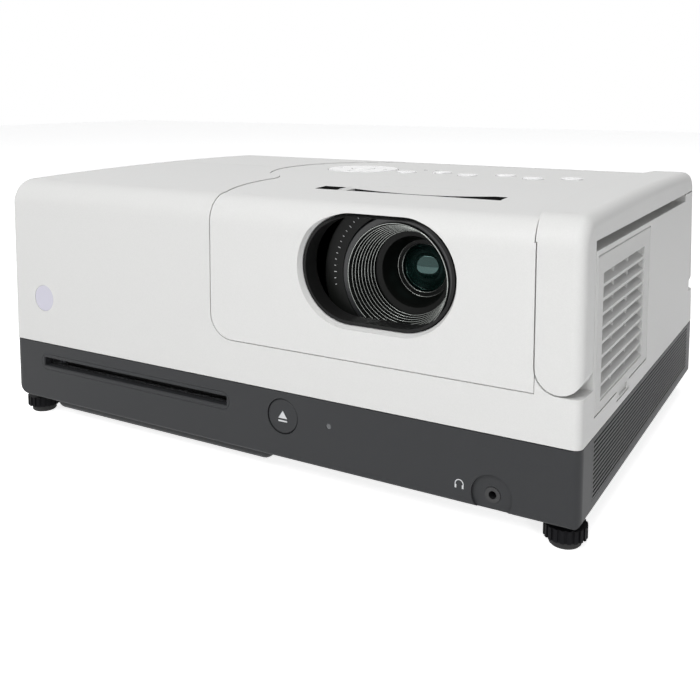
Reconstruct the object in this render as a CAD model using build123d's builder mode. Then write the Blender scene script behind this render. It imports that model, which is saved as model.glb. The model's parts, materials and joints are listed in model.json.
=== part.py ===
"""Projector with a built-in slot-in disc player, as separate parts.

Millimetres. X runs to the right along the front, Y to the back and Z up. The origin is on the
table under the middle of the body. Every part is drawn in its own block and written to parts/.
"""
import os
from math import radians, tan

from build123d import *

# ---------------------------------------------------------------- driving dimensions
body_width = 340.0
body_depth = 250.0
foot_height = 12.0
base_height = 34.0
case_height = 96.0  # from the split line to the crown of the top
band_height = 21.0  # plain strip of the case under the lens cover
handle_rise = 1.5  # the handle stands this much above the crown

# white case
front_drop = 2.4
rear_drop = 1.5
crown_y = 10.0
front_lean = 0.8
rear_lean = 12.7
front_top_radius = 14.0
rear_top_radius = 12.0
side_radius = 4.0
case_wall = 2.4
seam = 0.4
ledge_wall = 2.0
ledge_reach = 4.0

# lens cover and lamp cover
cover_inset = 0.3
cover_wall = 2.0
cover_left = -21.0
cover_corner_radius = 13.0
cover_turn_depth = 15.0
cover_rear_margin = 21.0
lamp_cover_length = 93.0
lamp_cover_drop = 10.0

# window, liner, shutter
window_x = 73.0
window_z = 109.3
window_width = 80.0
window_height = 52.5
collar_wall = 2.2
collar_depth = 9.0
window_flare = 26.0
window_flare_depth = 3.6
liner_wall = 1.4
liner_flange = 1.4
fit_gap = 0.3
shutter_thick = 1.4
shutter_width = 83.0
shutter_travel = 84.0

# crescent and shutter knob on the top
crescent_x = 66.0
crescent_half = 54.0
crescent_margin = 46.0
crescent_depth = 2.4
crescent_wall = 1.4
crescent_length = 31.0
knob_slot_width = 11.0
knob_length = 17.5
knob_end_gap = 0.8
knob_height = 5.0
track_low_z = 132.6
track_thick = 1.8
track_post_reach = 60.5
track_post_radius = 2.5

# lens
lens_x = 77.0
lens_z = 104.5
ring_inset = 17.4
focus_radius = 30.0
focus_length = 13.0
zoom_radius = 30.0
zoom_length = 11.0
barrel_radius = 26.6
ring_clearance = 0.08
barrel_length = 62.0
hood_steps = 6
hood_step_depth = 2.6
hood_step_width = 1.0
throat_radius = 14.25
glass_radius = 12.5
glass_depth = 33.0
grip_count = 30
grip_depth = 0.9
grip_width = 2.4

# key field on the top
pad_x = -18.0
pad_y = 27.0
pad_radius = 22.5
enter_radius = 7.2
key_radius = 6.0
key_travel = 0.8
key_places = (("key_power", 17.0, 20.0), ("key_source", 37.0, 29.0), ("key_menu", 57.5, 20.0),
              ("key_back", 78.0, 29.0), ("key_volume_down", 98.0, 20.0), ("key_volume_up", 118.0, 29.0))
light_places = ((20.0, 41.0), (28.0, 41.0))

light_radius = 1.4
key_board_z = 133.0
key_board_thick = 1.6
gimbal_thick = 1.2
gimbal_pin_radius = 0.6
gimbal_bearing = 12.4

# exhaust fan at the left
fan_margin = 68.0
lamp_inset = 63.0
fan_size = 70.0
fan_thick = 15.0
exhaust_count = 11
exhaust_pitch = 5.8
exhaust_slot = 3.2

# carry handle
handle_width = 20.5
handle_seam = 0.7
handle_leg_depth = 15.0
handle_bar_height = 13.0
handle_bulge = 6.0
handle_edge_radius = 5.5
pivot_inset = 10.0
pivot_z = 78.0
leg_end_radius = 10.25
pin_radius = 3.0
pin_clearance = 0.05
finger_gap = 4.6
finger_gap_depth = 14.0
finger_gap_margin = 37.0
swing_gap = 0.2

# filter cover on the right side
filter_margin = 19.5
filter_length = 97.5
filter_low_z = 54.3
filter_high_z = 123.3
filter_border = 3.2
louvre_front_margin = 8.5
louvre_rear_margin = 12.0
louvre_low_z = 58.8
louvre_high_z = 115.0
louvre_count = 9
louvre_slope = 35.0
slat_thick = 1.3
latch_offset = 49.5
latch_width = 23.0
latch_drop = 4.6
filter_thick = 10.0

# base tray
base_corner_radius = 5.0
base_left_radius = 12.0
base_right_radius = 2.5
base_rear_radius = 8.5
base_wall = 2.4
base_side_wall = 4.6
base_floor = 2.4
split_gap = 0.5
bulge_left_reach = 64.4
bulge_right_reach = 90.6
bulge_margin = 5.0
bulge_length = 140.0
bulge_drop = 6.0
bulge_radius = 5.5

# front controls in the base
slot_offset = 91.4
slot_z = 34.7
slot_width = 133.8
slot_height = 4.8
bezel_width = 138.2
bezel_height = 9.0
bezel_depth = 5.0
eject_offset = 101.8
eject_z = 33.3
eject_radius = 8.75
eject_travel = 1.2
disc_light_offset = 26.5
disc_light_radius = 1.3
jack_inset = 38.0
jack_z = 18.4
jack_radius = 3.5
jack_bore_radius = 1.8
jack_bore_length = 14.0
jack_dish_radius = 9.5
jack_dish_depth = 1.6
receiver_inset = 25.7
receiver_z = 72.3
receiver_radius = 7.5

# speaker grilles
grille_front_margin = 18.5
grille_rear_margin = 15.0
grille_low_z = 17.6
grille_high_z = 44.6
grille_thick = 1.8
grille_slots = 13
grille_slot_height = 0.95
speaker_margin = 63.0
speaker_radius = 12.5
speaker_depth = 14.0

# feet
front_foot_inset = 9.0
front_foot_margin = 12.0
dial_radius = 9.4
dial_height = 5.6
dial_teeth = 20
pad_foot_radius = 6.9
pad_foot_height = 3.4
stud_radius = 4.0
stud_height = 24.0
bush_wall = 2.6
rear_foot_inset = 30.0
rear_foot_margin = 25.0
rear_foot_radius = 8.0
rear_pad_height = 3.0

# screws and deck
screw_left_inset = 11.0
screw_right_inset = 24.0
screw_front_margin = 28.0
screw_rear_margin = 26.0
screw_hole_gap = 0.3
screw_head_height = 2.8
screw_radius = 1.5
screw_head_radius = 2.8
pillar_radius = 4.6
deck_z = 56.0
deck_thick = 2.4
deck_side_room = 23.6
deck_end_room = 26.0
boss_height = 8.0

# disc drive
drive_width = 140.0
drive_margin = 6.8
drive_length = 138.0
drive_high_z = 41.0
drive_sheet = 1.2
roller_radius = 3.0
roller_margin = 12.2
rod_radius = 1.5

# rear connector panel
panel_inset = 30.0
panel_width = 160.0
panel_low_z = 53.0
panel_high_z = 93.0
panel_depth = 16.0
panel_thick = 2.0
inlet_offset = 23.0
rocker_offset = 60.0
phono_offsets = (88.0, 104.0, 120.0)
port_offset = 143.0
phono_radius = 4.15
phono_bore_radius = 1.65
port_centre_z = 73.0

# ---------------------------------------------------------------- values worked out from them
half_width = body_width / 2
front = -body_depth / 2
rear = body_depth / 2
cover_rear_y = rear - cover_rear_margin
lamp_cover_front_y = cover_rear_y - lamp_cover_length
crescent_front_y = front + crescent_margin
ring_front_y = front + ring_inset
fan_y = rear - fan_margin
lamp_x = lamp_inset - half_width
handle_x = half_width - handle_width
pivot_x = half_width - pivot_inset
finger_gap_front_y = front + handle_leg_depth
finger_gap_rear_y = rear - finger_gap_margin
filter_front_y = front + filter_margin
filter_rear_y = filter_front_y + filter_length
louvre_front_y = filter_front_y + louvre_front_margin
louvre_rear_y = filter_rear_y - louvre_rear_margin
latch_y = filter_front_y + latch_offset
slot_x = slot_offset - half_width
eject_x = slot_x + eject_offset
disc_light_x = eject_x + disc_light_offset
bulge_left = slot_x - bulge_left_reach
bulge_right = slot_x + bulge_right_reach
bulge_front_y = front + bulge_margin
bulge_rear_y = bulge_front_y + bulge_length
jack_x = half_width - jack_inset
receiver_x = receiver_inset - half_width
grille_front_y = front + grille_front_margin
grille_rear_y = rear - grille_rear_margin
speaker_y = rear - speaker_margin
front_foot_x = half_width - front_foot_inset
front_foot_y = front + front_foot_margin
rear_foot_x = half_width - rear_foot_inset
rear_foot_y = rear - rear_foot_margin
screw_left_x = screw_left_inset - half_width
screw_right_x = half_width - screw_right_inset
screw_front_y = front + screw_front_margin
screw_rear_y = rear - screw_rear_margin
drive_front_y = front + drive_margin
roller_y = drive_front_y + roller_margin
panel_left = panel_inset - half_width
panel_right = panel_left + panel_width
panel_y = rear - panel_depth
inlet_x = panel_left + inlet_offset
rocker_x = panel_left + rocker_offset
phono_x = [panel_left + offset for offset in phono_offsets]
port_x = panel_left + port_offset
split_z = foot_height + base_height
top_z = split_z + case_height
band_z = split_z + band_height
bar_z = top_z + handle_rise - handle_bar_height
rear_slope = rear_lean / (case_height - rear_drop)
liner_rear_y = front + 11.5
shutter_y = liner_rear_y + liner_flange + fit_gap
deck_top = deck_z + deck_thick
fan_z = deck_top + fit_gap + fan_size / 2
base_low_z = foot_height - bulge_drop
louvre_pitch = (louvre_high_z - louvre_low_z) / louvre_count

screw_points = [(x, y) for x in (screw_left_x, screw_right_x) for y in (screw_front_y, screw_rear_y)]
liner_posts = ((cover_left + 9, 84.0), (120.0, 84.0), (cover_left + 9, 124.0), (120.0, 124.0))
board_posts = ((-46.0, 4.0), (-46.0, 50.0), (127.0, 10.0), (127.0, 48.0), (46.0, 46.0))

os.makedirs("parts", exist_ok=True)


def save(part, name):
    """Label a finished part and write it."""
    part.label = name
    export_step(part, f"parts/{name}.step")


# ---------------------------------------------------------------- shared forms of the case
def case_form(inset=0.0, low=0.0, rise=0.0, edge=side_radius):
    """White case as a solid: drawn from the side, inset all round, let down by low."""
    foot = split_z - low
    side_edge = max(edge - inset, 0.8)
    with BuildPart() as form:
        with BuildSketch(Plane.YZ.offset(inset - half_width)) as side:
            with BuildLine():
                front_line = Line((front + inset, foot),
                                  (front + front_lean + inset, top_z - front_drop + rise - inset))
                rear_line = Line((rear - rear_lean - inset, top_z - rear_drop + rise - inset),
                                 (rear + rear_slope * low - inset, foot))
                ThreePointArc(front_line @ 1, (crown_y, top_z + rise - inset), rear_line @ 0)
                Line(rear_line @ 1, front_line @ 0)
            make_face()
            top_corners = side.vertices().sort_by(Axis.Y)[-2:].sort_by(Axis.X)
            fillet(top_corners[0], max(front_top_radius - inset, 2.0))
            top_corners = side.vertices().sort_by(Axis.X)
            rear_corner = [v for v in top_corners if abs(v.Y - (top_z - rear_drop + rise - inset)) < 0.01]
            fillet(rear_corner, max(rear_top_radius - inset, 2.0))
        extrude(amount=body_width - 2 * inset)
        flanks = form.faces().filter_by(Axis.X)
        fillet(flanks.edges().filter_by(lambda edge_line: edge_line.center().Z > foot + 0.1), side_edge)
    return form.part


def handle_top_view(grow):
    """Plan of the handle's bar: its inner side bows towards the middle of the case."""
    with BuildSketch() as plan:
        with BuildLine():
            inner = ThreePointArc((handle_x - grow, front - 5), (handle_x - handle_bulge - grow, front * 0.28),
                                  (handle_x + 2 - grow, rear + 5))
            Polyline(inner @ 1, (half_width + 5, rear + 5), (half_width + 5, front - 5), inner @ 0)
        make_face()
    return plan.sketch


def leg_outline(grow):
    """Front view of a handle leg, round at its lower end."""
    with BuildSketch() as leg:
        with BuildLine():
            down = Line((handle_x - grow, top_z + 10), (pivot_x - leg_end_radius - grow, pivot_z))
            end_arc = ThreePointArc(down @ 1, (pivot_x, pivot_z - leg_end_radius - grow),
                                    (pivot_x + leg_end_radius + grow, pivot_z))
            Polyline(end_arc @ 1, (half_width + 5, pivot_z), (half_width + 5, top_z + 10), down @ 0)
        make_face()
    return leg.sketch


def handle_space(grow, notch=0.0):
    """Space of the U-shaped handle, grown all round; notch opens the corner below the legs."""
    with BuildPart() as space:
        with BuildSketch(Plane.XZ.offset(-(front + handle_leg_depth + grow))):
            add(leg_outline(grow))
            if notch:
                with Locations(((pivot_x + half_width + 5) / 2, pivot_z - notch / 2)):
                    Rectangle(half_width + 5 - pivot_x, notch)
        extrude(amount=handle_leg_depth + grow + 5)
        with BuildSketch(Plane.XZ.offset(-(rear + 5))):
            add(leg_outline(grow))
            if notch:
                with Locations(((pivot_x + half_width + 5) / 2, pivot_z - notch / 2)):
                    Rectangle(half_width + 5 - pivot_x, notch)
        extrude(amount=handle_leg_depth + grow + 5)
        with BuildSketch(Plane.XY.offset(bar_z - grow)):
            add(handle_top_view(grow))
        extrude(amount=handle_bar_height + grow + 5)
    return space.part


def finger_space(grow):
    """Gap under the handle's bar for the fingers."""
    with BuildPart() as space:
        with BuildSketch(Plane.XY.offset(bar_z - finger_gap - grow)):
            with Locations((half_width - finger_gap_depth - grow, finger_gap_front_y - grow)):
                Rectangle(finger_gap_depth + grow + 5, finger_gap_rear_y - finger_gap_front_y + 2 * grow,
                          align=(Align.MIN, Align.MIN))
        extrude(amount=finger_gap + 2 * grow)
    return space.part


def cover_space(grow):
    """Space of the lens cover: a round-cornered panel on the front that runs over the top."""
    turn_y = front + cover_turn_depth
    with BuildPart() as space:
        with BuildSketch(Plane.XZ.offset(-turn_y)) as view:
            with BuildLine():
                floor_line = Line((handle_x, band_z), (cover_left + cover_corner_radius, band_z))
                corner = RadiusArc(floor_line @ 1, (cover_left, band_z + cover_corner_radius),
                                   cover_corner_radius)
                Polyline(corner @ 1, (cover_left, top_z + 10), (handle_x, top_z + 10), floor_line @ 0)
            make_face()
            if grow:
                offset(amount=grow)
        extrude(amount=cover_turn_depth + 5)
        with BuildSketch(Plane.XY.offset(top_z - 14)) as plan:
            with BuildLine():
                sweep_in = ThreePointArc((cover_left, turn_y - 0.5), (cover_left - 9, front + 40),
                                         (cover_left - 12, front + 75))
                jog = ThreePointArc(sweep_in @ 1, (cover_left - 17, front + 87), (cover_left - 31, front + 97))
                round_pad = ThreePointArc(jog @ 1, (cover_left - 46, pad_y - 7),
                                          (cover_left - 5, cover_rear_y))
                Polyline(round_pad @ 1, (handle_x, cover_rear_y), (handle_x, turn_y - 0.5), sweep_in @ 0)
            make_face()
            if grow:
                offset(amount=grow)
        extrude(amount=24)
    return space.part


def lamp_space(grow):
    """Space of the lamp cover: the rear left of the top, wrapped a little down the side."""
    with BuildPart() as space:
        with BuildSketch(Plane.XY.offset(top_z - lamp_cover_drop - grow)):
            with Locations((-half_width - 5, lamp_cover_front_y - grow)):
                Rectangle(half_width + 5 - 10, cover_rear_y - lamp_cover_front_y + 2 * grow,
                          align=(Align.MIN, Align.MIN))
        extrude(amount=lamp_cover_drop + 10)
        add(cover_space(seam - grow), mode=Mode.SUBTRACT)
    return space.part


def crescent_space(grow):
    """Shallow scoop in the top behind the shutter slot: a large cylinder tipped to the front."""
    radius = (crescent_half ** 2 + crescent_depth ** 2) / (2 * crescent_depth)
    rear_y = crescent_front_y + crescent_length
    front_surface = surface_z(crescent_front_y) - cover_inset
    rear_surface = surface_z(rear_y) - cover_inset
    rise = rear_surface - front_surface + crescent_depth
    tip = Plane(origin=(crescent_x, crescent_front_y, front_surface - crescent_depth),
                x_dir=(1, 0, 0), z_dir=(0, crescent_length, rise))
    with BuildPart() as space:
        with BuildSketch(tip.offset(-10)):
            with Locations((0, -radius)):
                Circle(radius + grow)
        extrude(amount=70)
        with BuildSketch(Plane.XY.offset(front_surface - 12)):
            with Locations((crescent_x, crescent_front_y - grow)):
                Rectangle(2 * crescent_half + 2 * grow + 4, crescent_length + 2 * grow + 4,
                          align=(Align.CENTER, Align.MIN))
        extrude(amount=20, mode=Mode.INTERSECT)
    return space.part


def surface_z(y):
    """Height of the crowned top above the table at a distance y from the middle."""
    span = crown_y - front
    return top_z - front_drop * ((y - crown_y) / span) ** 2


# ---------------------------------------------------------------- white case
filter_mid_y = (filter_front_y + filter_rear_y) / 2
filter_mid_z = (filter_low_z + filter_high_z) / 2
filter_height = filter_high_z - filter_low_z
pocket_front_y = front + handle_leg_depth + 12
pocket_length = filter_rear_y - filter_border - pocket_front_y
pocket_mid_y = pocket_front_y + pocket_length / 2
cartridge_x = half_width - case_wall - 2.6 - filter_thick - 1.0


def side_box(x_low, x_high, y_mid, length, z_mid, height):
    """Box from one x to another, round a middle in y and z."""
    with BuildPart() as block:
        with BuildSketch(Plane.YZ.offset(x_low)):
            with Locations((y_mid, z_mid)):
                Rectangle(length, height)
        extrude(amount=x_high - x_low)
    return block.part


with BuildPart() as seam_ring:
    add(cover_space(ledge_reach))
    add(lamp_space(ledge_reach))
    add(cover_space(-ledge_reach), mode=Mode.SUBTRACT)
    add(lamp_space(-ledge_reach), mode=Mode.SUBTRACT)
    with Locations((0, front + 7, top_z)):
        Box(body_width + 20, 26, 34, mode=Mode.SUBTRACT)

with BuildPart() as case_cavity:
    add(case_form(case_wall, low=5))
    add(seam_ring.part, mode=Mode.SUBTRACT)
    add(case_form(case_wall + ledge_wall, low=5))
    add(handle_space(handle_seam + case_wall, notch=leg_end_radius + handle_seam + case_wall),
        mode=Mode.SUBTRACT)
    add(finger_space(case_wall), mode=Mode.SUBTRACT)
    add(side_box(cartridge_x, half_width, filter_mid_y, filter_length + 2, filter_mid_z, filter_height),
        mode=Mode.SUBTRACT)
    # bosses for the long case screws, each with a web to the wall behind it
    for boss_x, boss_y in screw_points:
        wall_y = front if boss_y < 0 else rear
        with BuildSketch(Plane.XY.offset(deck_top + 0.2)):
            with Locations((boss_x, boss_y)):
                Circle(pillar_radius)
            with Locations((boss_x, (boss_y + wall_y) / 2)):
                Rectangle(3, abs(wall_y - boss_y))
        extrude(amount=boss_height, mode=Mode.SUBTRACT)
    # bosses of the handle pins
    for boss_y, way in ((front + handle_leg_depth, 1), (rear - handle_leg_depth, -1)):
        with BuildSketch(Plane.XZ.offset(-boss_y)):
            with Locations((pivot_x, pivot_z)):
                Circle(pin_radius + 3)
        extrude(amount=-way * 12, mode=Mode.SUBTRACT)

with BuildPart() as skin_cut:
    add(cover_space(seam))
    add(lamp_space(seam))
    add(case_form(case_wall, low=5), mode=Mode.SUBTRACT)

with BuildPart() as upper_case:
    add(case_form(0.0))
    add(skin_cut.part, mode=Mode.SUBTRACT)
    add(case_cavity.part, mode=Mode.SUBTRACT)
    add(handle_space(handle_seam, notch=leg_end_radius + handle_seam), mode=Mode.SUBTRACT)
    add(finger_space(0.0), mode=Mode.SUBTRACT)
    # filter cover recess, latch notch and the cartridge's shaft
    add(side_box(half_width - case_wall - seam, half_width + 5, filter_mid_y, filter_length + 2 * seam,
                 filter_mid_z, filter_height + 2 * seam), mode=Mode.SUBTRACT)
    add(side_box(half_width - case_wall - seam, half_width + 5, latch_y, latch_width + 2 * seam,
                 filter_low_z - latch_drop / 2, latch_drop + 2 * seam), mode=Mode.SUBTRACT)
    add(side_box(cartridge_x + 1.5, half_width, pocket_mid_y, pocket_length,
                 filter_mid_z, filter_height - 2 * filter_border), mode=Mode.SUBTRACT)
    add(side_box(cartridge_x - 5, half_width, pocket_mid_y, pocket_length - 2 * filter_border,
                 filter_mid_z, filter_height - 4 * filter_border), mode=Mode.SUBTRACT)
    # infrared window, pin holes, screw holes
    with BuildSketch(Plane.XZ.offset(-front - 5)):
        with Locations((receiver_x, receiver_z)):
            Circle(receiver_radius + 0.1)
    extrude(amount=10, mode=Mode.SUBTRACT)
    for boss_y, way in ((front + handle_leg_depth, 1), (rear - handle_leg_depth, -1)):
        with BuildSketch(Plane.XZ.offset(-boss_y + way)):
            with Locations((pivot_x, pivot_z)):
                Circle(pin_radius)
        extrude(amount=-way * 11, mode=Mode.SUBTRACT)
    with BuildSketch(Plane.XY.offset(deck_top)):
        with Locations(*screw_points):
            Circle(screw_radius)
    extrude(amount=boss_height - 1, mode=Mode.SUBTRACT)
    # exhaust slots in the left side, in front of the fan
    for step in range(exhaust_count):
        with BuildSketch(Plane.YZ.offset(-half_width - 2)):
            with Locations((fan_y, fan_z + (step - (exhaust_count - 1) / 2) * exhaust_pitch)):
                SlotOverall(fan_size - 6, exhaust_slot)
        extrude(amount=8, mode=Mode.SUBTRACT)
    # opening for the connector panel
    with BuildSketch(Plane.XZ.offset(-panel_y)):
        with Locations(((panel_left + panel_right) / 2, (panel_low_z + panel_high_z) / 2)):
            RectangleRounded(panel_right - panel_left + 2 * fit_gap,
                             panel_high_z - panel_low_z + 2 * fit_gap, 3 + fit_gap)
    extrude(amount=-30, mode=Mode.SUBTRACT)
save(upper_case.part, "upper_case")

# ---------------------------------------------------------------- lens cover
knob_slot_left = crescent_x - crescent_half + 0.6
knob_slot_right = knob_slot_left + knob_length + shutter_travel + 2 * knob_end_gap
knob_y = crescent_front_y + 0.6 + knob_slot_width / 2
knob_half = knob_slot_width / 2 - fit_gap
track_top_z = track_low_z + track_thick
window_plane = Plane.XZ.offset(-(front + collar_depth))

with BuildPart() as cover_cavity:
    add(case_form(cover_inset + cover_wall, low=5))
    with BuildSketch(window_plane):
        with Locations((window_x, window_z)):
            SlotOverall(window_width + 2 * collar_wall, window_height + 2 * collar_wall)
    extrude(amount=collar_depth + 5, mode=Mode.SUBTRACT)
    # posts for the liner and for the key board
    with BuildSketch(Plane.XZ.offset(-liner_rear_y)):
        with Locations(*liner_posts):
            Circle(2.5)
    extrude(amount=20, mode=Mode.SUBTRACT)
    with BuildSketch(Plane.XY.offset(key_board_z + key_board_thick + 0.1)):
        with Locations(*board_posts):
            Circle(2.5)
    extrude(amount=20, mode=Mode.SUBTRACT)
    add(crescent_space(crescent_wall), mode=Mode.SUBTRACT)
    with BuildSketch(Plane.XY.offset(track_top_z + 0.1)):
        with Locations((crescent_x - track_post_reach, knob_y), (crescent_x + track_post_reach, knob_y)):
            Circle(track_post_radius)
    extrude(amount=20, mode=Mode.SUBTRACT)

with BuildPart() as front_cover:
    add(case_form(cover_inset))
    add(cover_cavity.part, mode=Mode.SUBTRACT)
    add(cover_space(0.0), mode=Mode.INTERSECT)
    add(handle_space(handle_seam), mode=Mode.SUBTRACT)
    with BuildSketch(window_plane):
        with Locations((window_x, window_z)):
            SlotOverall(window_width, window_height)
    extrude(amount=collar_depth + 5, mode=Mode.SUBTRACT)
    add(crescent_space(0.0), mode=Mode.SUBTRACT)
    with BuildSketch(Plane.XY.offset(top_z - 20)):
        with Locations(((knob_slot_left + knob_slot_right) / 2, knob_y)):
            Rectangle(knob_slot_right - knob_slot_left, knob_slot_width)
        with Locations((pad_x, pad_y)):
            Circle(pad_radius + 0.5)
        with Locations(*[(x, y) for _, x, y in key_places]):
            Circle(key_radius + fit_gap)
        with Locations(*light_places):
            Circle(light_radius)
    extrude(amount=30, mode=Mode.SUBTRACT)
    # the rim flares outwards, as a moulded funnel does
    with BuildSketch(Plane.XZ.offset(-(front + window_flare_depth))):
        with Locations((window_x, window_z)):
            SlotOverall(window_width, window_height)
    extrude(amount=window_flare_depth + 2, taper=-window_flare, mode=Mode.SUBTRACT)
save(front_cover.part, "front_cover")

with BuildPart() as lamp_cover:
    add(case_form(0.0))
    add(case_form(cover_wall, low=5), mode=Mode.SUBTRACT)
    add(lamp_space(0.0), mode=Mode.INTERSECT)
save(lamp_cover.part, "lamp_cover")

# ---------------------------------------------------------------- carry handle and its pins
edge_height = bar_z - handle_seam - pivot_z
swing_radius = (pivot_inset ** 2 + edge_height ** 2) ** 0.5 + swing_gap
with BuildPart() as handle:
    add(case_form(0.0, rise=handle_rise, edge=handle_edge_radius))
    add(handle_space(0.0), mode=Mode.INTERSECT)
    for bore_y, way in ((front + handle_leg_depth, 1), (rear - handle_leg_depth, -1)):
        with BuildSketch(Plane.XZ.offset(-bore_y - way)):
            with Locations((pivot_x, pivot_z)):
                Circle(pin_radius + pin_clearance)
        extrude(amount=way * 9, mode=Mode.SUBTRACT)
    # behind the finger gap the underside of the bar is hollowed to swing past the edge of the case
    with BuildSketch(Plane.XZ.offset(handle_leg_depth - rear)):
        with Locations((pivot_x, pivot_z)):
            Circle(swing_radius)
    extrude(amount=finger_gap_margin - handle_leg_depth + 1, mode=Mode.SUBTRACT)
save(handle.part, "handle")

with BuildPart() as handle_pins:
    for bore_y, way in ((front + handle_leg_depth, 1), (rear - handle_leg_depth, -1)):
        with BuildSketch(Plane.XZ.offset(-(bore_y + way * 9.8))):
            with Locations((pivot_x, pivot_z)):
                Circle(pin_radius)
        extrude(amount=way * 17)
save(handle_pins.part, "handle_pins")

# ---------------------------------------------------------------- louvred filter cover and its foam
cover_inner_x = half_width - case_wall
slat_inner_x = half_width - 4.3

with BuildPart() as filter_cover:
    with BuildSketch(Plane.YZ.offset(cover_inner_x)) as plate:
        with Locations((filter_mid_y, filter_mid_z)):
            RectangleRounded(filter_length, filter_height, 1.5)
        with Locations((latch_y, filter_low_z - latch_drop / 2 + 1)):
            RectangleRounded(latch_width, latch_drop + 2, 1.2)
        with Locations(((louvre_front_y + louvre_rear_y) / 2, (louvre_low_z + louvre_high_z) / 2)):
            Rectangle(louvre_rear_y - louvre_front_y, louvre_high_z - louvre_low_z, mode=Mode.SUBTRACT)
    extrude(amount=case_wall)
    outer_face = filter_cover.faces().sort_by(Axis.X)[-1]
    chamfer(outer_face.outer_wire().edges(), 0.4)
    # slanting slats, each with its outer edge low
    slat_rise = (half_width - slat_inner_x) * tan(radians(louvre_slope))
    for step in range(louvre_count):
        slat_z = louvre_low_z - 0.3 + step * louvre_pitch
        with BuildSketch(Plane.XZ.offset(-louvre_rear_y)):
            with BuildLine():
                Polyline((half_width - 0.5, slat_z), (slat_inner_x, slat_z + slat_rise),
                         (slat_inner_x, slat_z + slat_rise + slat_thick),
                         (half_width - 0.5, slat_z + slat_thick), close=True)
            make_face()
        extrude(amount=louvre_rear_y - louvre_front_y)
    # upright ribs that tie the slats together behind
    with BuildSketch(Plane.XY.offset(louvre_low_z)):
        with Locations(((slat_inner_x + cover_inner_x) / 2, 0)):
            with Locations(*[(0, louvre_front_y + share * (louvre_rear_y - louvre_front_y))
                             for share in (0.0, 1 / 3, 2 / 3, 1.0)]):
                Rectangle(cover_inner_x - slat_inner_x + 0.4, 1.2)
    extrude(amount=louvre_high_z - louvre_low_z)
    # thumb dish in the latch tab
    with BuildSketch(Plane.YZ.offset(half_width - 0.8)):
        with Locations((latch_y, filter_low_z - latch_drop / 2 + 0.6)):
            SlotOverall(latch_width - 8, latch_drop - 1)
    extrude(amount=2, mode=Mode.SUBTRACT)
save(filter_cover.part, "filter_cover")

with BuildPart() as air_filter:
    foam_x = cartridge_x + 1.5 + fit_gap
    with BuildSketch(Plane.YZ.offset(foam_x)):
        with Locations((pocket_mid_y, filter_mid_z)):
            Rectangle(pocket_length - 2 * fit_gap,
                      filter_height - 2 * filter_border - 2 * fit_gap)
    extrude(amount=slat_inner_x - fit_gap - 0.2 - foam_x)
    with BuildSketch(Plane.XY.offset(filter_low_z)):
        with Locations((slat_inner_x - fit_gap - 0.2, pocket_mid_y)):
            with GridLocations(1, 6, 1, 13):
                Rectangle(3, 1.6)
    extrude(amount=filter_height, mode=Mode.SUBTRACT)
save(air_filter.part, "air_filter")

# ---------------------------------------------------------------- base tray
bush_radius = stud_radius + pin_clearance + bush_wall


def base_form(inset, side_inset, high):
    """Base tray as a solid: front view, side view and plan, cut with each other."""
    low = foot_height + inset
    with BuildPart() as form:
        with BuildSketch(Plane.XZ.offset(-rear)) as view:
            with Locations((0, (low + high) / 2)):
                Rectangle(body_width - 2 * side_inset, high - low)
            corners = view.vertices().sort_by(Axis.Y)[:2].sort_by(Axis.X)
            fillet(corners[0], max(base_left_radius - side_inset, 1))
            right_corner = view.vertices().sort_by(Axis.X)[-2:].sort_by(Axis.Y)[0]
            fillet(right_corner, max(base_right_radius - side_inset, 0.5))
        extrude(amount=body_depth)
        with BuildSketch(Plane.YZ.offset(-half_width)) as side:
            with Locations((0, (low + high) / 2)):
                Rectangle(body_depth - 2 * inset, high - low)
            rear_corner = side.vertices().sort_by(Axis.Y)[:2].sort_by(Axis.X)[-1]
            fillet(rear_corner, max(base_rear_radius - inset, 1))
            front_corner = side.vertices().sort_by(Axis.X)[:2].sort_by(Axis.Y)[0]
            fillet(front_corner, 1.5)
        extrude(amount=body_width, mode=Mode.INTERSECT)
        with BuildSketch(Plane.XY):
            RectangleRounded(body_width - 2 * side_inset, body_depth - 2 * inset,
                             max(base_corner_radius - inset, 1))
        extrude(amount=high, mode=Mode.INTERSECT)
    return form.part


def bulge_form(inset):
    """Low bulge under the disc drive."""
    low = base_low_z + inset
    with BuildPart() as form:
        with BuildSketch(Plane.XZ.offset(-(bulge_rear_y - inset))) as view:
            with Locations(((bulge_left + bulge_right) / 2, (low + foot_height + 4) / 2)):
                Rectangle(bulge_right - bulge_left - 2 * inset, foot_height + 4 - low)
            fillet(view.vertices().sort_by(Axis.Y)[:2], max(bulge_radius - inset, 1))
        extrude(amount=bulge_rear_y - bulge_front_y - 2 * inset)
        long_edges = form.edges().filter_by(Axis.X).group_by(Axis.Z)[0]
        fillet(long_edges, max(bulge_radius - 2 - inset, 0.5))
    return form.part


def front_hole(outline_x, outline_z, radius):
    """Round hole through the front wall."""
    with BuildPart() as hole:
        with BuildSketch(Plane.XZ.offset(-front + 5)):
            with Locations((outline_x, outline_z)):
                Circle(radius)
        extrude(amount=-25)
    return hole.part


def grille_rows(low_z):
    """Heights of the grooves in a grille that starts at low_z."""
    pitch = (grille_high_z - grille_low_z) / (grille_slots + 0.6)
    count = int((grille_high_z - low_z) / pitch - 0.4)
    return [grille_high_z - pitch * (step + 0.8) for step in range(count)]


grille_left_low_z = foot_height + base_left_radius - 0.5
grille_mid_y = (grille_front_y + grille_rear_y) / 2
grille_length = grille_rear_y - grille_front_y
front_board_posts = ((75.0, 40.0), (112.0, 40.0))
front_board_y = front + 13.0

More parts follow.
